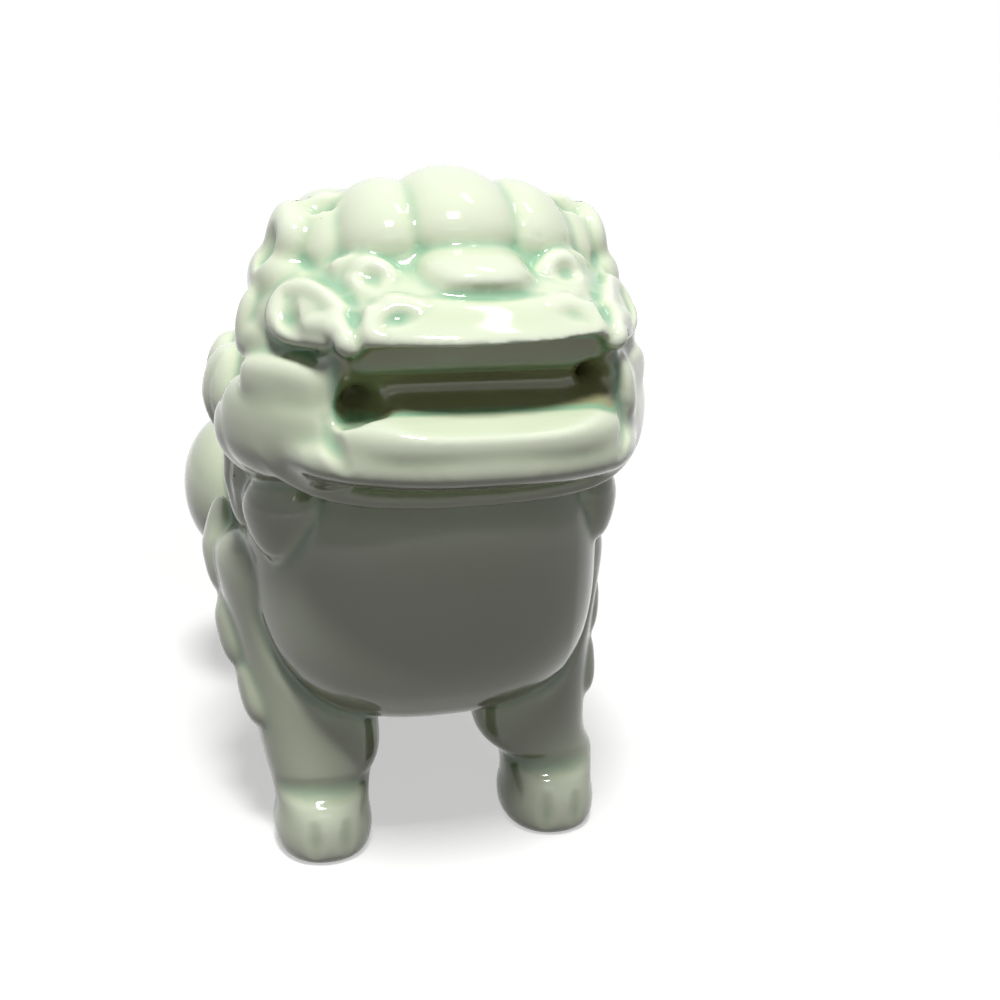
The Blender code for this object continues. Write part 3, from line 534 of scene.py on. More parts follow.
def make_jaws():
    # the upper jaw: one ledge round the face from cheek to cheek, which slopes down to the lip
    levels = [(99.0, 0.86, 0.88), (99.6, 0.945, 0.955), (100.4, 0.985, 0.99), (101.4, 1.0, 1.0),
              (102.6, 0.985, 0.995), (104.6, 0.90, 0.965), (106.8, 0.80, 0.905), (109.0, 0.62, 0.83),
              (111.0, 0.40, 0.72)]
    add(plate(levels, (0, -41.0), (32.2, 32.4), 2.15))
    add(lump((0, -54.0, 95.0), (24.0, 13.4, 9.0), 4.0))
    claim("muzzle", lump((0, -58.6, 103.4), (21.8, 17.6, 8.0), 2.6, 2.6))
    # the lower jaw: its lip, and the slope up behind the lip to the back of the mouth
    add(lump((0, -46.2, 82.8), (31.4, 28.0, 5.6), 2.5, 2.8))
    add(lump((0, -53.0, 86.4), (25.0, 21.2, 6.4), 3.0, 2.6))
    for name, side in SIDES:
        turn = tilt(-side * 42, "Z")
        add(lump((side * 26.4, -53.2, 92.8), (5.2, 9.6, 4.7), 3.6, 3.0, 0.0, turn))
        add(lump((side * 27.0, -47.4, 98.0), (5.6, 9.6, 4.4), 2.4, None, 0.0, turn))
        add_after(lump((side * 20.4, -65.9, 100.6), (2.3, 2.4, 2.0)))
        add(lump((side * 25.8, -50.6, 85.2), (8.0, 15.2, 9.2), 2.6, None, 0.0, tilt(-side * 36, "Z")))
        claim("jowl_" + name, lump((side * 25.2, -48.0, 91.2), (9.6, 14.2, 9.6), 2.5, None, 0.0, turn))
    add_after(lump((24.0, -54.6, 91.5), (4.8, 9.6, 8.0), 2.2, None, 0.0, tilt(-16, "Y")))
    half = [(34.4, -46.0, 91.5), (33.6, -50.5, 86.0), (31.0, -54.5, 81.2), (26.0, -56.6, 77.2),
            (18.0, -56.6, 74.6), (8.0, -55.6, 73.2)]
    spine = [(-x, y, z) for x, y, z in half] + [(0, -55.2, 73.0)] + half[::-1]
    add(roll(spine, [1.7] * 13, [1.3] * 13, from_neck, (0.1, 0.1), 0.5, 0.0, 16, 120))
    claim("lower_jaw", lump((0, -45.5, 82.4), (35.0, 29.5, 10.4), 2.5, 3.4))


EYES = {"left": (15.2, 109.8), "right": (-15.8, 109.2)}
RUBBED = ((19.0, -62.0, 91.5, 10.0), (30.0, -54.5, 89.5, 5.5), (26.5, -59.0, 81.5, 8.5), (23.0, -64.0, 84.0, 5.0),
          (19.5, -66.0, 105.0, 4.0), (20.4, -68.4, 88.4, 7.0), (28.0, -40.0, 112.5, 3.5), (20.0, -31.0, 120.0, 6.0))


def make_face():
    # the nose: a low wedge, blunt at the tip
    add_after(lump((0.4, -56.2, 110.3), (8.8, 9.8, 3.5), 2.5, 2.6, 0.16, tilt(11, "X")),
              lump((0.2, -50.0, 111.6), (6.6, 9.0, 3.6), 2.0, None, 0.0, tilt(18, "X")))
    claim("nose", lump((0.4, -57.4, 110.4), (10.8, 12.4, 6.0), 2.2))
    for name, side in SIDES:
        x, z = EYES[name]
        centre = (x, face_y(x, z), z)
        outward = Vector(centre) - Vector(HEAD["middle"])
        turn = facing(outward) @ tilt(side * 9, "Z")
        add_after(lump(centre, (6.4, 3.0, 2.0), 1.8, 3.0, 0.0, turn))
        claim("eye_" + name, lump(centre, (6.4, 4.3, 3.6), 2.0, None, 0.0, turn))
        centre = (side * 14.0, -69.0, 106.6)
        outward = Vector((side * 0.5, -0.8, 0.6))
        claim("nostril_curl_" + name, lump(centre, (6.4, 6.4, 3.6), 2.2, None, 0.0, facing(outward)))
        x = 26.2
        centre = (side * x, face_y(x, 103.5), 103.5)
        outward = Vector(centre) - Vector(HEAD["middle"])
        claim("cheek_curl_" + name, lump(centre, (9.2, 9.2, 4.6), 2.4, None, 0.0, facing(outward)))


def make_brow():
    rows = ((0.0, 9.0, 5.8, 1.0), (12.4, 6.9, 4.8, 2.2), (20.0, 5.8, 4.4, 1.4))
    for row, (x, wide, high, sink) in enumerate(rows):
        for name, side in SIDES:
            if row == 0 and side < 0:
                continue
            low = 110.5 - row * 0.6
            knee = 117.0 - row * 1.0
            spine = [(side * x, face_y(x, low) + 3.0, low),
                     (side * x * 1.01, face_y(x, knee) + sink * 0.8, knee - 0.4),
                     (side * x, -38.0, head_top(x * 0.96, -38.0) - sink + row * 0.8),
                     (side * x * 0.86, -17.0, head_top(x * 0.86, -20.0) - 1.2)]
            node = "brow_curl_centre" if row == 0 else "brow_curl_%s_%d" % (name, row)
            shape = spine, [wide, wide, wide, wide * 0.6], [high, high, high, high * 0.6], from_head
            add(roll(*shape, (0.24, 0.35), 0.5))
            claim(node, roll(*shape, (0.24, 0.35), 0.5, 1.3))
    for name, side in SIDES:
        centre = (side * 25.2, -38.4, 111.8)
        add(lump(centre, (4.2, 7.4, 7.0), 2.3, 2.6, 0.0, tilt(-side * 10, "Y") @ tilt(20, "X")))
        add(lump((side * 17.6, -31.0, 114.6), (6.4, 9.0, 6.0), 2.2))
        # the bone below the ear, and the strand of hair that hangs from it
        add(lump((side * 25.6, -38.0, 106.0), (6.6, 10.5, 6.8), 2.3))
        spine = [(side * 31.2, -42.5, 106.0), (side * 33.0, -44.0, 101.0), (side * 33.4, -44.5, 95.5)]
        add(roll(spine, [2.2] * 3, [1.8] * 3, from_head, (0.35, 0.35), 0.6))
        holes.append(lump((side * 30.4, -41.6, 112.8), (3.0, 2.5, 4.2), 2.0, None, 0.0, tilt(-side * 10, "Y")))
        claim("ear_" + name, lump(centre, (6.6, 10.2, 10.4), 2.4, None, 0.0, tilt(-side * 10, "Y") @ tilt(20, "X")))


def make_mane():
    rows = ((64, 60, 90.0, 60.0, 8.4, 5.8), (86, 82, 94.5, 62.0, 8.2, 5.4),
            (112, 106, 94.0, 68.0, 8.4, 5.6), (142, 130, 95.0, 73.0, 8.4, 5.6))
    for name, side in SIDES:
        for row, (top_angle, tip_angle, top, tip, wide, high) in enumerate(rows):
            spine = [round_neck(side * (top_angle + (tip_angle - top_angle) * share),
                                top + (tip - top) * share) for share in (0.0, 0.25, 0.5, 0.75, 1.0)]
            shape = spine, [wide] * 5, [high] * 5, from_neck, (0.30, 0.28), 0.6
            add(roll(*shape))
            claim("mane_lock_%s_%d" % (name, row + 1), roll(*shape, 3.2 if row == 0 else 1.2))
            if row > 0:
                strands.append((spine, wide, from_neck))
    rows = ((180, 117.5, 96.0), (154, 116.0, 96.5), (206, 116.0, 96.5), (130, 111.0, 90.0), (230, 111.0, 90.0))
    for row, (angle, top, tip) in enumerate(rows):
        spine = [round_neck(angle, top + (tip - top) * share) for share in (0.0, 0.25, 0.5, 0.75, 1.0)]
        wide, high = (7.6, 4.6) if row < 3 else (6.4, 3.2)
        add(roll(spine, [wide] * 5, [high] * 5, from_neck))
        claim("nape_lock_%d" % (row + 1), roll(spine, [wide] * 5, [high] * 5, from_neck, grow=1.1))
        strands.append((spine, wide, from_neck))


def paw(x, y, half_x, half_y):
    return [(x, y, share * 12.0, half_x * swell, half_y * swell)
            for share, swell in ((0.0, 0.84), (0.12, 0.96), (0.40, 1.0), (0.75, 0.94))]


def make_legs():
    front_x = barrel_slice(-29.0)[0] - 13.0
    shoulder_x = barrel_slice(-23.0)[0] - 7.7
    haunch_x = barrel_side(34.0, 51.0) - 3.6
    rear_x = barrel_slice(42.0)[0] - 9.2
    belly = 20.0
    for name, side in SIDES:
        paw_x = side * (front_x + 1.5) + 1.2
        slices = paw(paw_x, -33.0, 9.2, 11.5)
        slices += [(paw_x, -31.0, 13.8, 9.4, 9.9), (side * front_x, -29.0, belly, 11.2, 11.5),
                   (side * (front_x + shoulder_x) / 2, -26.0, 40.0, 12.0, 12.75),
                   (side * shoulder_x, -23.0, 54.0, 12.0, 14.0), (side * shoulder_x, -23.0, 58.4, 10.1, 10.4),
                   (side * shoulder_x, -23.0, 60.0, 6.0, 5.6)]
        add(stack(slices))
        claim("front_leg_" + name, stack(slices, 0.9))
        haunch = (side * haunch_x, 34.0, 51.0)
        add(lump(haunch, (14.5, 18.5, 17.0), 2.1))
        claim("haunch_" + name, lump(haunch, (15.4, 19.4, 17.9), 2.1))
        slices = paw(side * rear_x, 40.0, 9.2, 12.5)
        slices += [(side * rear_x, 42.0, 15.0, 8.2, 9.2), (side * rear_x, 42.0, 30.3, 9.0, 10.5),
                   (side * rear_x, 42.0, 48.8, 10.1, 12.0)]
        add(stack(slices))
        claim("rear_leg_" + name, stack(slices, 0.9))
        for row, (out, y, z) in enumerate(((5.2, -28.5, 32.5), (8.4, -24.0, 42.5), (9.8, -17.0, 54.0))):
            x = side * (shoulder_x + out)
            spine = [(x - side * 1.8, y - 2.7, z - 9.0), (x, y, z), (x, y + 5.4, z + 9.0)]
            add(roll(spine, [5.6] * 3, [4.0] * 3, from_barrel))
            claim("shoulder_tuft_%s_%d" % (name, row + 1), roll(spine, [5.6] * 3, [4.0] * 3, from_barrel, grow=0.9))


def make_tail():
    def before(point):
        return v(0, 20.0, 56.0)

    spine = [(0, 53.6, 56.0), (0, 64.4, 70.5), (0, 62.2, 86.8), (0, 57.8, 100.0)]
    widths = [10.5, 16.0, 16.0, 7.5]
    add(roll(spine, widths, [7.4] * 4, before))
    claim("tail", roll(spine, widths, [7.4] * 4, before, grow=0.9))
    strands.append((spine, 15.0, before))
    for name, side in SIDES:
        centre = (side * 16.5, 63.0, 64.0)
        add(curl(centre, (side * 0.5, 1, 0), 200, 6.0, 5.0, side))
        claim("tail_curl_" + name, lump(centre, (8.6, 8.6, 4.6), 2.2, None, 0.0, facing((side * 0.5, 1, 0))))


def down_the_lock(clay_surface, spine, wide, away, shift, start=0.1, stop=0.86):
    """A line down a lock, shifted to one side of its middle by a share of its half width."""
    points = [v(*p) for p in spine]
    line = []
    for i in range(8):
        t = start + (stop - start) * i / 7
        middle = along_curve(points, t)
        ahead = (along_curve(points, t + 0.02) - along_curve(points, t - 0.02)).normalized()
        up = middle - away(middle)
        up = (up - ahead * up.dot(ahead)).normalized()
        place = middle + ahead.cross(up) * shift * wide * (1.0 - 0.5 * max(t - 0.6, 0.0) / 0.4) * 0.001
        line.append(clay_surface.hit([c * 1000 for c in place + up * 0.02], -up))
    return line


def raised_marks(clay_surface):
    """What is drawn up out of the clay: eye rims, curls on the cheeks and beside the nostrils."""
    front = clay_surface.front
    marks = []
    for name, side in SIDES:
        x, z = EYES[name]
        marks.append(mark([front(x - 0.3, z + 0.3), front(x + 0.3, z + 0.3)], 3.9, 1.2, 1.0, 1.0))
        # the curl on the cheek: a broad band wound over the top and down to the lip
        band = [(21.4, 105.4), (22.6, 107.2), (25.2, 107.6), (28.0, 106.4), (29.6, 104.0), (29.6, 101.4),
                (27.6, 100.0), (24.0, 100.2)]
        marks.append(mark([front(side * x, z) for x, z in band], 2.3, 0.9, 0.6, 1.2))
        band = [(20.8, 100.8), (21.2, 102.6), (22.8, 103.6), (25.2, 103.4)]
        marks.append(mark([front(side * x, z) for x, z in band], 2.4, 0.8, 0.6, 1.2))
    # the curl beside the nostril
    band = [(17.6, 102.2), (17.6, 104.0), (15.8, 105.8), (13.2, 106.6), (10.6, 106.4)]
    for name, side in SIDES:
        lift = 0.9 if name == "right" else 0.5
        marks.append(mark([front(side * x, z) for x, z in band], 2.6, lift, 0.6, 1.2))
    return marks


def pressed_marks(clay_surface):
    """What is pressed in: irises, the creases between locks, toes and pinholes."""
    front = clay_surface.front
    marks = []
    for name, side in SIDES:
        x, z = EYES[name]
        marks.append(mark([front(x - 0.3, z + 0.4), front(x + 0.3, z + 0.4)], 2.4, -1.1, 1.0, 1.2))
    marks.append(mark([front(x, 107.8 - 0.004 * x * x) for x in (-8.5, -4.0, 0.5, 5.0, 9.5)], 1.8, -0.6, 0.3))
    for name, side in SIDES:
        deep = 1.0 if name == "right" else 0.6
        for line, width, depth in (([(27.4, 105.2), (28.0, 103.4), (27.2, 101.8)], 2.2, -1.2),
                                   ([(19.3, 107.2), (19.4, 104.6), (19.6, 101.6)], 1.9, -0.9),
                                   ([(15.0, 104.2), (13.4, 104.7), (11.6, 104.9)], 1.9, -0.6 * deep),
                                   ([(24.0, 110.6), (22.0, 108.8), (19.2, 107.2), (15.6, 107.0)], 2.2, -0.8)):
            marks.append(mark([front(side * x, z) for x, z in line], width, depth, 0.4, 1.2))
        # where the jowl meets the jaw
        marks.append(mark([front(side * x, z) for x, z in ((23.6, 89.0), (23.0, 86.0), (21.8, 83.4))], 2.4, -0.8, 0.4))
        # the toes, and the wrist above them
        paw_x = side * (barrel_slice(-29.0)[0] - 11.5) + 1.2
        for shift in (-3.0, 3.0):
            line = [front(paw_x + shift, z) for z in (2.5, 5.0, 8.0)]
            marks.append(mark(line, 2.0, -0.6, 0.6))
        marks.append(mark([front(paw_x + shift, 13.6) for shift in (-8.0, -4.0, 0.0, 4.0, 8.0)], 3.0, -0.8, 0.5))
        # the edge of the bib over the chest
        line = [front(side * x, z) for x, z in ((33.0, 50.0), (31.6, 45.0), (28.4, 38.4), (23.6, 32.0), (18.6, 27.6))]
        marks.append(mark(line, 2.6, -0.5, 0.2))
    for spine, wide, away in strands:
        for shift in (-0.34, 0.34) if wide < 12 else (-0.45, -0.15, 0.15, 0.45):
            marks.append(mark(down_the_lock(clay_surface, spine, wide, away, shift), 1.7, -0.6, 0.2))
    for x, z, wide, deep in ((30.2, 104.5, 0.5, -0.5), (16.5, 114.3, 0.35, -0.4), (11.6, 115.2, 0.35, -0.4)):
        marks.append(mark([front(x, z), front(x + 0.15, z - 0.3)], wide, deep, 1.0, 1.0))
    return [(line, wide, high, blunt) for line, wide, high, blunt in marks if all(line)]


def press_left_side(piece):
    """The figure's own left side is a little flatter than its right, as the mould left it."""
    points, normals = read(piece)
    depth = np.clip(points[:, 0] - 0.022, 0.0, None) * 0.20
    points[:, 0] -= depth * np.clip((points[:, 2] - 0.015) / 0.020, 0.0, 1.0)
    write(piece, points)


def soften(piece, places, times):
    """Rub the clay smooth about some places, each (x, y, z, reach) in millimetres."""
    points, normals = read(piece)
    points = points * 1000.0
    group = piece.vertex_groups.new(name="rubbed")
    for x, y, z, reach in places:
        far = np.linalg.norm(points - np.array((x, y, z)), axis=1)
        for level in (0.25, 0.5, 0.75, 1.0):
            inside = np.nonzero(far < reach * (1.25 - level))[0]
            group.add([int(i) for i in inside], level, "REPLACE")
    apply_modifier(piece, "SMOOTH", factor=0.7, iterations=times, vertex_group="rubbed")
    piece.vertex_groups.clear()


def copy_of(piece, name):
    twin = piece.copy()
    twin.data = piece.data.copy()
    twin.name = name
    bpy.context.scene.collection.objects.link(twin)
    return twin


def join(pieces, name):
    only(pieces[0])
    for piece in pieces:
        piece.select_set(True)
    bpy.ops.object.join()
    pieces[0].name = name
    return pieces[0]


def read(piece):
    """Where the vertices lie and which way the surface faces there."""
    mesh = piece.data
    points = np.empty(len(mesh.vertices) * 3)
    mesh.vertices.foreach_get("co", points)
    normals = np.empty(len(mesh.vertices) * 3)
    mesh.vertices.foreach_get("normal", normals)
    return points.reshape(-1, 3), normals.reshape(-1, 3)


def write(piece, points):
    piece.data.vertices.foreach_set("co", points.ravel())
    piece.data.update()


def smoothed(piece, times):
    """Where the vertices would lie after some passes of smoothing."""
    twin = copy_of(piece, "smooth")
    apply_modifier(twin, "SMOOTH", factor=0.6, iterations=times)
    points, normals = read(twin)
    bpy.data.objects.remove(twin)
    return points


def dip_in_glaze_and_shade_mouth(skin):
    """Let the glaze fill the creases, and keep how deep it lies; in the mouth it goes above 1, partly for glaze pooled
    there and partly as painted shade of the mouth's shadow.
    """
    scale = (0.00045 / CLAY_GRAIN) ** 2
    apply_modifier(skin, "SMOOTH", factor=0.6, iterations=int(4 * scale) + 1)
    points, normals = read(skin)
    lay = smoothed(skin, int(20 * scale) + 2)
    broad = smoothed(skin, int(110 * scale) + 4)
    rise = ((lay - points) * normals).sum(axis=1)
    hollow = ((broad - points) * normals).sum(axis=1)
    write(skin, points + normals * (np.clip(rise, 0.0, 0.0006) * 0.5)[:, None])
    apply_modifier(skin, "SMOOTH", factor=0.6, iterations=int(1 * scale) + 1)
    depth = np.clip(rise / 0.00022, -1, 1) * 0.45 + np.clip(hollow / 0.0007, -1, 1) * 0.55
    # Painted shade: the hollow of the mouth gets 2 more, which turns its glaze dark olive-brown; partly glaze pooled
    # there, partly painted shade of the mouth's shadow.
    x, y, z = points.T * 1000.0
    painted_mouth_shade_box = (y + 68.5) / 3.0, (-48.0 - y) / 3.0, (23.5 - abs(x)) / 2.5, (z - 88.0) / 2.0, (101.2 - z) / 0.8
    depth += 2.0 * np.prod([np.clip(edge, 0.0, 1.0) for edge in painted_mouth_shade_box], axis=0)
    attribute = skin.data.attributes.new("glaze_depth_and_mouth_shade", "FLOAT", "POINT")
    attribute.data.foreach_set("value", depth.astype(np.float32))


# Glaze

def glaze_material(name):
    material = bpy.data.materials.new(name)
    material.use_nodes = True
    tree = material.node_tree
    nodes, links = tree.nodes, tree.links
    shader = nodes["Principled BSDF"]
    where = nodes.new("ShaderNodeTexCoord")
    depth = nodes.new("ShaderNodeAttribute")
    depth.attribute_name = "glaze_depth_and_mouth_shade"
    cloud = nodes.new("ShaderNodeTexNoise")
    cloud.inputs["Scale"].default_value = 55.0
    cloud.inputs["Detail"].default_value = 3.0
    links.new(where.outputs["Object"], cloud.inputs["Vector"])
    stir = nodes.new("ShaderNodeMath")
    stir.operation = "MULTIPLY_ADD"
    stir.inputs[1].default_value = 0.5
    stir.inputs[2].default_value = -0.25
    links.new(cloud.outputs["Fac"], stir.inputs[0])
    level = nodes.new("ShaderNodeMath")
    level.operation = "ADD"
    links.new(depth.outputs["Fac"], level.inputs[0])
    links.new(stir.outputs[0], level.inputs[1])
    spread = nodes.new("ShaderNodeMapRange")
    spread.inputs["From Min"].default_value = -1.0
    spread.inputs["From Max"].default_value = 3.0
    links.new(level.outputs[0], spread.inputs["Value"])
    ramp = nodes.new("ShaderNodeValToRGB")
    ramp.color_ramp.elements[0].position = 0.09
    ramp.color_ramp.elements[0].color = (0.84, 0.90, 0.74, 1)
    # The dark olive-brown end is reached inside the mouth: partly glaze pooled there, partly painted shade of the
    # mouth's shadow.
    ramp.color_ramp.elements[1].position = 0.75
    ramp.color_ramp.elements[1].color = (0.38, 0.38, 0.22, 1)
    for position, colour in ((0.25, (0.71, 0.79, 0.59, 1)), (0.43, (0.32, 0.54, 0.36, 1)),
                             (0.50, (0.32, 0.54, 0.36, 1))):
        ramp.color_ramp.elements.new(position).color = colour
    links.new(spread.outputs["Result"], ramp.inputs["Fac"])
    links.new(ramp.outputs["Color"], shader.inputs["Base Color"])
    shader.inputs["Roughness"].default_value = 0.09
    shader.inputs["IOR"].default_value = 1.5
    shader.inputs["Coat Weight"].default_value = 0.25
    shader.inputs["Coat Roughness"].default_value = 0.03
    wave = nodes.new("ShaderNodeTexNoise")
    wave.inputs["Scale"].default_value = 160.0
    wave.inputs["Detail"].default_value = 2.0
    links.new(where.outputs["Object"], wave.inputs["Vector"])
    bump = nodes.new("ShaderNodeBump")
    bump.inputs["Strength"].default_value = 0.25
    bump.inputs["Distance"].default_value = 0.0002
    links.new(wave.outputs["Fac"], bump.inputs["Height"])
    links.new(bump.outputs["Normal"], shader.inputs["Normal"])
    return material


def bare_clay_material(name):
    """The fired clay where no glaze lies: the walls between pieces and the inside."""
    material = bpy.data.materials.new(name)
    material.use_nodes = True
    tree = material.node_tree
    nodes, links = tree.nodes, tree.links
    shader = nodes["Principled BSDF"]
    where = nodes.new("ShaderNodeTexCoord")
    grit = nodes.new("ShaderNodeTexNoise")
    grit.inputs["Scale"].default_value = 900.0
    grit.inputs["Detail"].default_value = 4.0
    links.new(where.outputs["Object"], grit.inputs["Vector"])
    ramp = nodes.new("ShaderNodeValToRGB")
    ramp.color_ramp.elements[0].color = (0.52, 0.45, 0.36, 1)
    ramp.color_ramp.elements[1].color = (0.72, 0.66, 0.56, 1)
    links.new(grit.outputs["Fac"], ramp.inputs["Fac"])
    links.new(ramp.outputs["Color"], shader.inputs["Base Color"])
    shader.inputs["Roughness"].default_value = 0.85
    return material


def wipe_soles(figure):
    """The soles are wiped free of glaze, so that the figure doesn't stick in the kiln."""
    centres = np.empty(len(figure.data.polygons) * 3)
    figure.data.polygons.foreach_get("center", centres)
    figure.data.polygons.foreach_set("material_index", (centres[2::3] < 0.0004).astype(np.int32))


# Each piece of the figure is its own share of the skin

def boolean(piece, other, operation):
    apply_modifier(piece, "BOOLEAN", object=other, operation=operation, solver="MANIFOLD",
                   material_mode="TRANSFER")


def cell_keys(points):
    """One whole number for each point, the same for two points in the same place."""
    cells = np.round((points + 0.2) * 1e7).astype(np.int64)
    return cells[:, 0] * 16000000000000 + cells[:, 1] * 4000000 + cells[:, 2]


class Skin:
    """What the whole glazed skin is like at a point, for the pieces cut from it."""

    def __init__(self, piece):
        self.points, self.normals = read(piece)
        depth = np.empty(len(self.points), dtype=np.float32)
        piece.data.attributes["glaze_depth_and_mouth_shade"].data.foreach_get("value", depth)
        self.depth = depth.astype(float)
        self.tree = BVHTree.FromObject(piece, bpy.context.evaluated_depsgraph_get())
        self.faces = [tuple(face.vertices) for face in piece.data.polygons]
        keys = cell_keys(self.points)
        self.order = np.argsort(keys)
        self.keys = keys[self.order]

    def lookup(self, points, wanted):
        """Shading direction and depth of glaze, with the painted shade in the mouth, at the wanted points."""
        keys = cell_keys(points)
        at = np.minimum(np.searchsorted(self.keys, keys), len(self.keys) - 1)
        same = (self.keys[at] == keys) & wanted
        normals = np.zeros((len(points), 3))
        depth = np.zeros(len(points))
        normals[same] = self.normals[self.order[at[same]]]
        depth[same] = self.depth[self.order[at[same]]]
        for i in np.nonzero(wanted & ~same)[0]:
            place, normal, face, distance = self.tree.find_nearest(Vector(points[i]))
            ids = list(self.faces[face])
            gaps = np.linalg.norm(self.points[ids] - points[i], axis=1)
            share = 1.0 / np.maximum(gaps, 1e-7)
            share /= share.sum()
            normals[i] = share @ self.normals[ids]
            depth[i] = share @ self.depth[ids]
        lengths = np.linalg.norm(normals, axis=1)
        normals[lengths > 0] /= lengths[lengths > 0][:, None]
        return normals, depth


def lay_glaze(piece, skin):
    """Give a piece the shading and the depth of glaze, with the painted shade in the mouth, that the whole skin has
    there.
    """
    mesh = piece.data
    points, normals = read(piece)
    slots = np.empty(len(mesh.polygons), dtype=np.int32)
    mesh.polygons.foreach_get("material_index", slots)
    glazed = np.array([material == glaze for material in mesh.materials])[slots]
    totals = np.empty(len(mesh.polygons), dtype=np.int64)
    mesh.polygons.foreach_get("loop_total", totals)
    corners = np.empty(len(mesh.loops), dtype=np.int64)
    mesh.loops.foreach_get("vertex_index", corners)
    flat = np.empty(len(mesh.polygons) * 3)
    mesh.polygons.foreach_get("normal", flat)
    corner_face = np.repeat(np.arange(len(mesh.polygons)), totals)
    on_glaze = np.zeros(len(points), dtype=bool)
    on_glaze[corners[glazed[corner_face]]] = True
    normals, depth = skin.lookup(points, on_glaze)
    shading = np.where(glazed[corner_face][:, None], normals[corners], flat.reshape(-1, 3)[corner_face])
    if "glaze_depth_and_mouth_shade" in mesh.attributes:
        mesh.attributes.remove(mesh.attributes["glaze_depth_and_mouth_shade"])
    attribute = mesh.attributes.new("glaze_depth_and_mouth_shade", "FLOAT", "POINT")
    attribute.data.foreach_set("value", depth.astype(np.float32))
    mesh.shade_smooth()
    mesh.normals_split_custom_set(shading.tolist())


def take_apart(figure):
    """Cut the figure into its pieces: zone by zone, and each zone into its pieces."""
    skin = Skin(figure)
    cores = [barrel(-0.6), head(-0.6)]
    for core in cores:
        core.data.materials.append(bare)
    pieces = []
    for zone in ("cup", "face", "mane", "shoulders", "rump"):
        members = [(node, cutter) for node, cutter in claims if zone_of(node) == zone]
        for node, cutter in members:
            cutter.data.materials.clear()
            cutter.data.materials.append(bare)
        members.sort(key=lambda member: not member[0].startswith(("nostril", "shoulder")))
        whole = copy_of(members[0][1], zone + "_zone")
        for node, cutter in members[1:]:
            boolean(whole, cutter, "UNION")
        if zone != "cup":
            for core in cores:
                boolean(whole, core, "DIFFERENCE")
        part = copy_of(figure, zone + "_part")
        boolean(part, whole, "INTERSECT")
        boolean(figure, whole, "DIFFERENCE")
        for node, cutter in members:
            if (node, cutter) == members[-1]:
                piece = part
                piece.name = node + "_clay"
            else:
                piece = copy_of(part, node + "_clay")
                boolean(piece, cutter, "INTERSECT")
                boolean(part, cutter, "DIFFERENCE")
            bpy.data.objects.remove(cutter)
            pieces.append((node, piece))
        bpy.data.objects.remove(whole)
    top = head(1.4)
    top.data.materials.append(bare)
    boolean(top, cores[0], "DIFFERENCE")
    skull = copy_of(figure, "skull_clay")
    boolean(skull, top, "INTERSECT")
    boolean(figure, top, "DIFFERENCE")
    figure.name = "torso_clay"
    pieces += [("skull", skull), ("torso", figure)]
    for core in cores + [top]:
        bpy.data.objects.remove(core)
    # the figure is cast hollow: the cavity of the head, and of the body with its hole in the belly
    vent = spun([(0.0, 10.0), (4.5, 10.0), (4.5, 50.0), (0.0, 50.0)], (0, 3.5, 0))
    for piece, hollow in ((skull, lump((0, -27.0, 98.0), (26.0, 20.0, 15.0), 2.6)), (figure, barrel(-4.6)),
                          (figure, vent)):
        hollow.data.materials.append(bare)
        boolean(piece, hollow, "DIFFERENCE")
        bpy.data.objects.remove(hollow)
    for node, piece in pieces:
        lay_glaze(piece, skin)
        piece.data.transform(Matrix.Translation((0, STAND, 0)))
        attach(piece, "root")
        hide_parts(node)


make_body()
make_head()
make_jaws()
make_face()
make_brow()
make_mane()
make_legs()
make_tail()

skin = join(clay, "figure_skin")
apply_modifier(skin, "REMESH", mode="VOXEL", voxel_size=CLAY_GRAIN)
plug = join(holes, "plug")
apply_modifier(plug, "REMESH", mode="VOXEL", voxel_size=CLAY_GRAIN)
apply_modifier(skin, "BOOLEAN", object=plug, operation="DIFFERENCE", solver="MANIFOLD")
bpy.data.objects.remove(plug)
skin = join([skin] + details, "figure_skin")
apply_modifier(skin, "REMESH", mode="VOXEL", voxel_size=CLAY_GRAIN)
apply_modifier(skin, "SMOOTH", factor=0.6, iterations=int(10 * (0.00045 / CLAY_GRAIN) ** 2) + 1)
soften(skin, [(side * x, y, z, reach) for name, side in SIDES for x, y, z, reach in RUBBED],
       int(50 * (0.00045 / CLAY_GRAIN) ** 2) + 1)
draw(skin, raised_marks(Surface(skin)))
draw(skin, pressed_marks(Surface(skin)))
press_left_side(skin)
dip_in_glaze_and_shade_mouth(skin)
skin.data.materials.clear()
glaze = glaze_material("celadon_glaze")
bare = bare_clay_material("bare_clay")
skin.data.materials.append(glaze)
skin.data.materials.append(bare)
wipe_soles(skin)
take_apart(skin)


# The studio

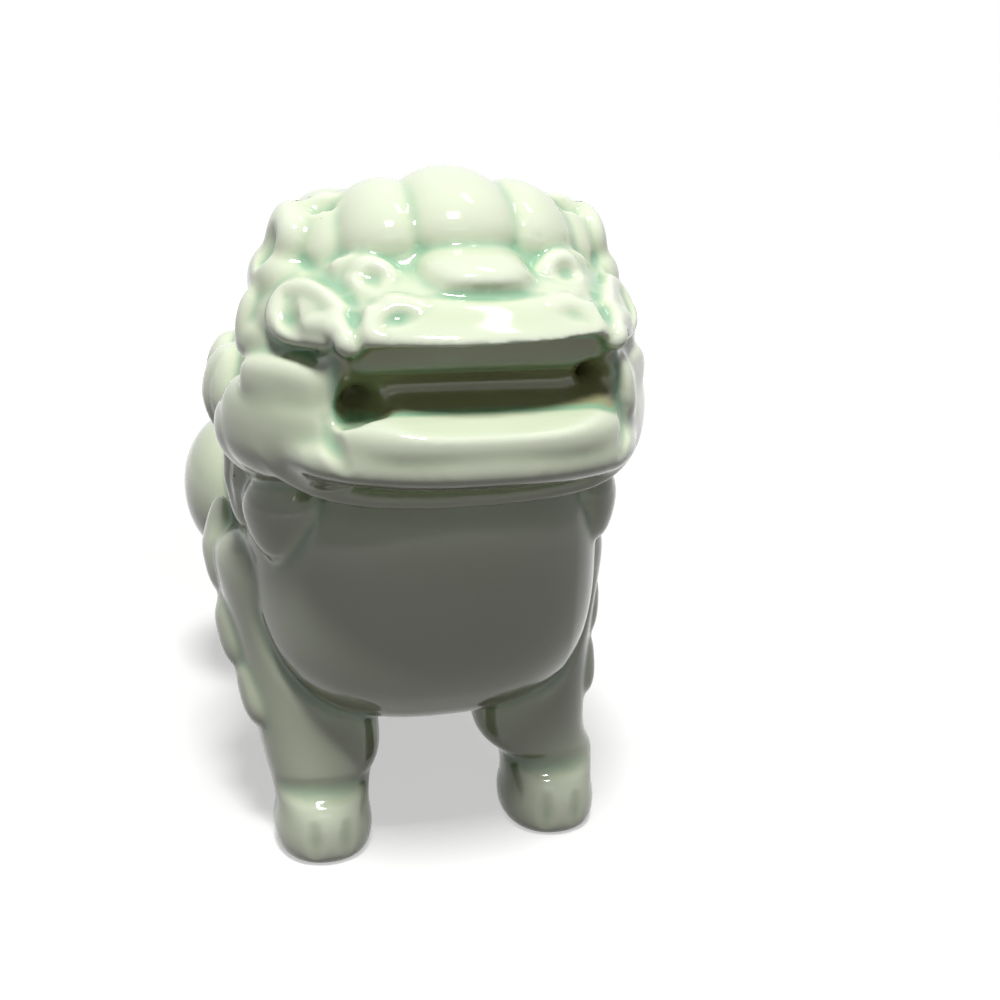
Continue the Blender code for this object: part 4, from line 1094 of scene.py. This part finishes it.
def make_studio():
    deselect()
    bpy.ops.mesh.primitive_plane_add(size=6.0, location=(0, 0, 0))
    floor = bpy.context.object
    floor.name = "floor"
    material = bpy.data.materials.new("pale_floor")
    material.use_nodes = True
    nodes, links = material.node_tree.nodes, material.node_tree.links
    bounce = nodes["Principled BSDF"]
    bounce.inputs["Base Color"].default_value = (0.05, 0.045, 0.035, 1)
    bounce.inputs["Roughness"].default_value = 0.9
    bounce.inputs["Specular IOR Level"].default_value = 0.0
    pale = nodes.new("ShaderNodeBsdfDiffuse")
    pale.inputs["Color"].default_value = (0.62, 0.62, 0.62, 1)
    glow = nodes.new("ShaderNodeEmission")
    where = nodes.new("ShaderNodeTexCoord")
    far = nodes.new("ShaderNodeVectorMath")
    far.operation = "LENGTH"
    links.new(where.outputs["Object"], far.inputs[0])
    rise = nodes.new("ShaderNodeMapRange")
    rise.interpolation_type = "SMOOTHSTEP"
    for name, value in (("From Min", 0.05), ("From Max", 0.60), ("To Min", 0.52), ("To Max", 1.0)):
        rise.inputs[name].default_value = value
    links.new(far.outputs["Value"], rise.inputs["Value"])
    links.new(rise.outputs["Result"], glow.inputs["Strength"])
    both = nodes.new("ShaderNodeAddShader")
    links.new(pale.outputs[0], both.inputs[0])
    links.new(glow.outputs[0], both.inputs[1])
    path = nodes.new("ShaderNodeLightPath")
    seen = nodes.new("ShaderNodeMath")
    seen.operation = "MAXIMUM"
    links.new(path.outputs["Is Camera Ray"], seen.inputs[0])
    links.new(path.outputs["Is Glossy Ray"], seen.inputs[1])
    mix = nodes.new("ShaderNodeMixShader")
    links.new(seen.outputs[0], mix.inputs[0])
    links.new(bounce.outputs[0], mix.inputs[1])
    links.new(both.outputs[0], mix.inputs[2])
    links.new(mix.outputs[0], nodes["Material Output"].inputs["Surface"])
    floor.data.materials.append(material)

    world = bpy.data.worlds.new("studio")
    bpy.context.scene.world = world
    world.use_nodes = True
    nodes, links = world.node_tree.nodes, world.node_tree.links
    for node in list(nodes):
        nodes.remove(node)
    path = nodes.new("ShaderNodeLightPath")
    seen = nodes.new("ShaderNodeMath")
    seen.operation = "MAXIMUM"
    links.new(path.outputs["Is Camera Ray"], seen.inputs[0])
    links.new(path.outputs["Is Glossy Ray"], seen.inputs[1])
    also = nodes.new("ShaderNodeMath")
    also.operation = "MAXIMUM"
    links.new(seen.outputs[0], also.inputs[0])
    links.new(path.outputs["Is Transmission Ray"], also.inputs[1])
    room = nodes.new("ShaderNodeBackground")
    room.inputs["Color"].default_value = (1.0, 1.0, 1.0, 1)
    room.inputs["Strength"].default_value = 0.03
    backdrop = nodes.new("ShaderNodeBackground")
    backdrop.inputs["Color"].default_value = (1, 1, 1, 1)
    backdrop.inputs["Strength"].default_value = 1.0
    mix = nodes.new("ShaderNodeMixShader")
    output = nodes.new("ShaderNodeOutputWorld")
    links.new(also.outputs[0], mix.inputs[0])
    links.new(room.outputs[0], mix.inputs[1])
    links.new(backdrop.outputs[0], mix.inputs[2])
    links.new(mix.outputs[0], output.inputs["Surface"])

    def lamp(name, place, size, strength, colour, target=(0, 0, 0.07)):
        data = bpy.data.lights.new(name, "AREA")
        data.shape = "RECTANGLE"
        data.size, data.size_y = size
        data.energy = strength
        data.color = colour
        lamp_object = bpy.data.objects.new(name, data)
        lamp_object.location = place
        aim = Vector(target) - Vector(place)
        lamp_object.rotation_euler = aim.to_track_quat("-Z", "Y").to_euler()
        bpy.context.scene.collection.objects.link(lamp_object)

    lamp("overhead_softbox", (-0.06, -0.37, 0.85), (0.17, 0.17), 7.4, (1.0, 1.0, 0.97))
    lamp("sheen_strip", (0.243, 0.092, 0.946), (0.26, 0.09), 0.45, (1.0, 1.0, 1.0))
    lamp("front_strip", (-0.10, -0.80, 0.55), (0.50, 0.05), 0.20, (1.0, 1.0, 1.0))


def make_camera():
    data = bpy.data.cameras.new("camera")
    data.sensor_width = 36.0
    data.lens = 46.8
    data.clip_start = 0.01
    camera = bpy.data.objects.new("camera", data)
    bpy.context.scene.collection.objects.link(camera)
    yaw, pitch, turn = [math.radians(a) for a in (16.3, 17.3, 1.5)]
    ahead = Vector((math.sin(yaw) * math.cos(pitch), math.cos(yaw) * math.cos(pitch), -math.sin(pitch)))
    right = Vector((math.cos(yaw), -math.sin(yaw), 0))
    up = right.cross(ahead)
    right, up = (math.cos(turn) * right + math.sin(turn) * up, math.cos(turn) * up - math.sin(turn) * right)
    place = Matrix((right, up, -ahead)).transposed().to_4x4()
    place.translation = Vector((-0.0512, -0.2512 + STAND, 0.1359))
    camera.matrix_world = place
    bpy.context.scene.camera = camera


make_studio()
make_camera()
bpy.context.scene.view_settings.view_transform = "Standard"
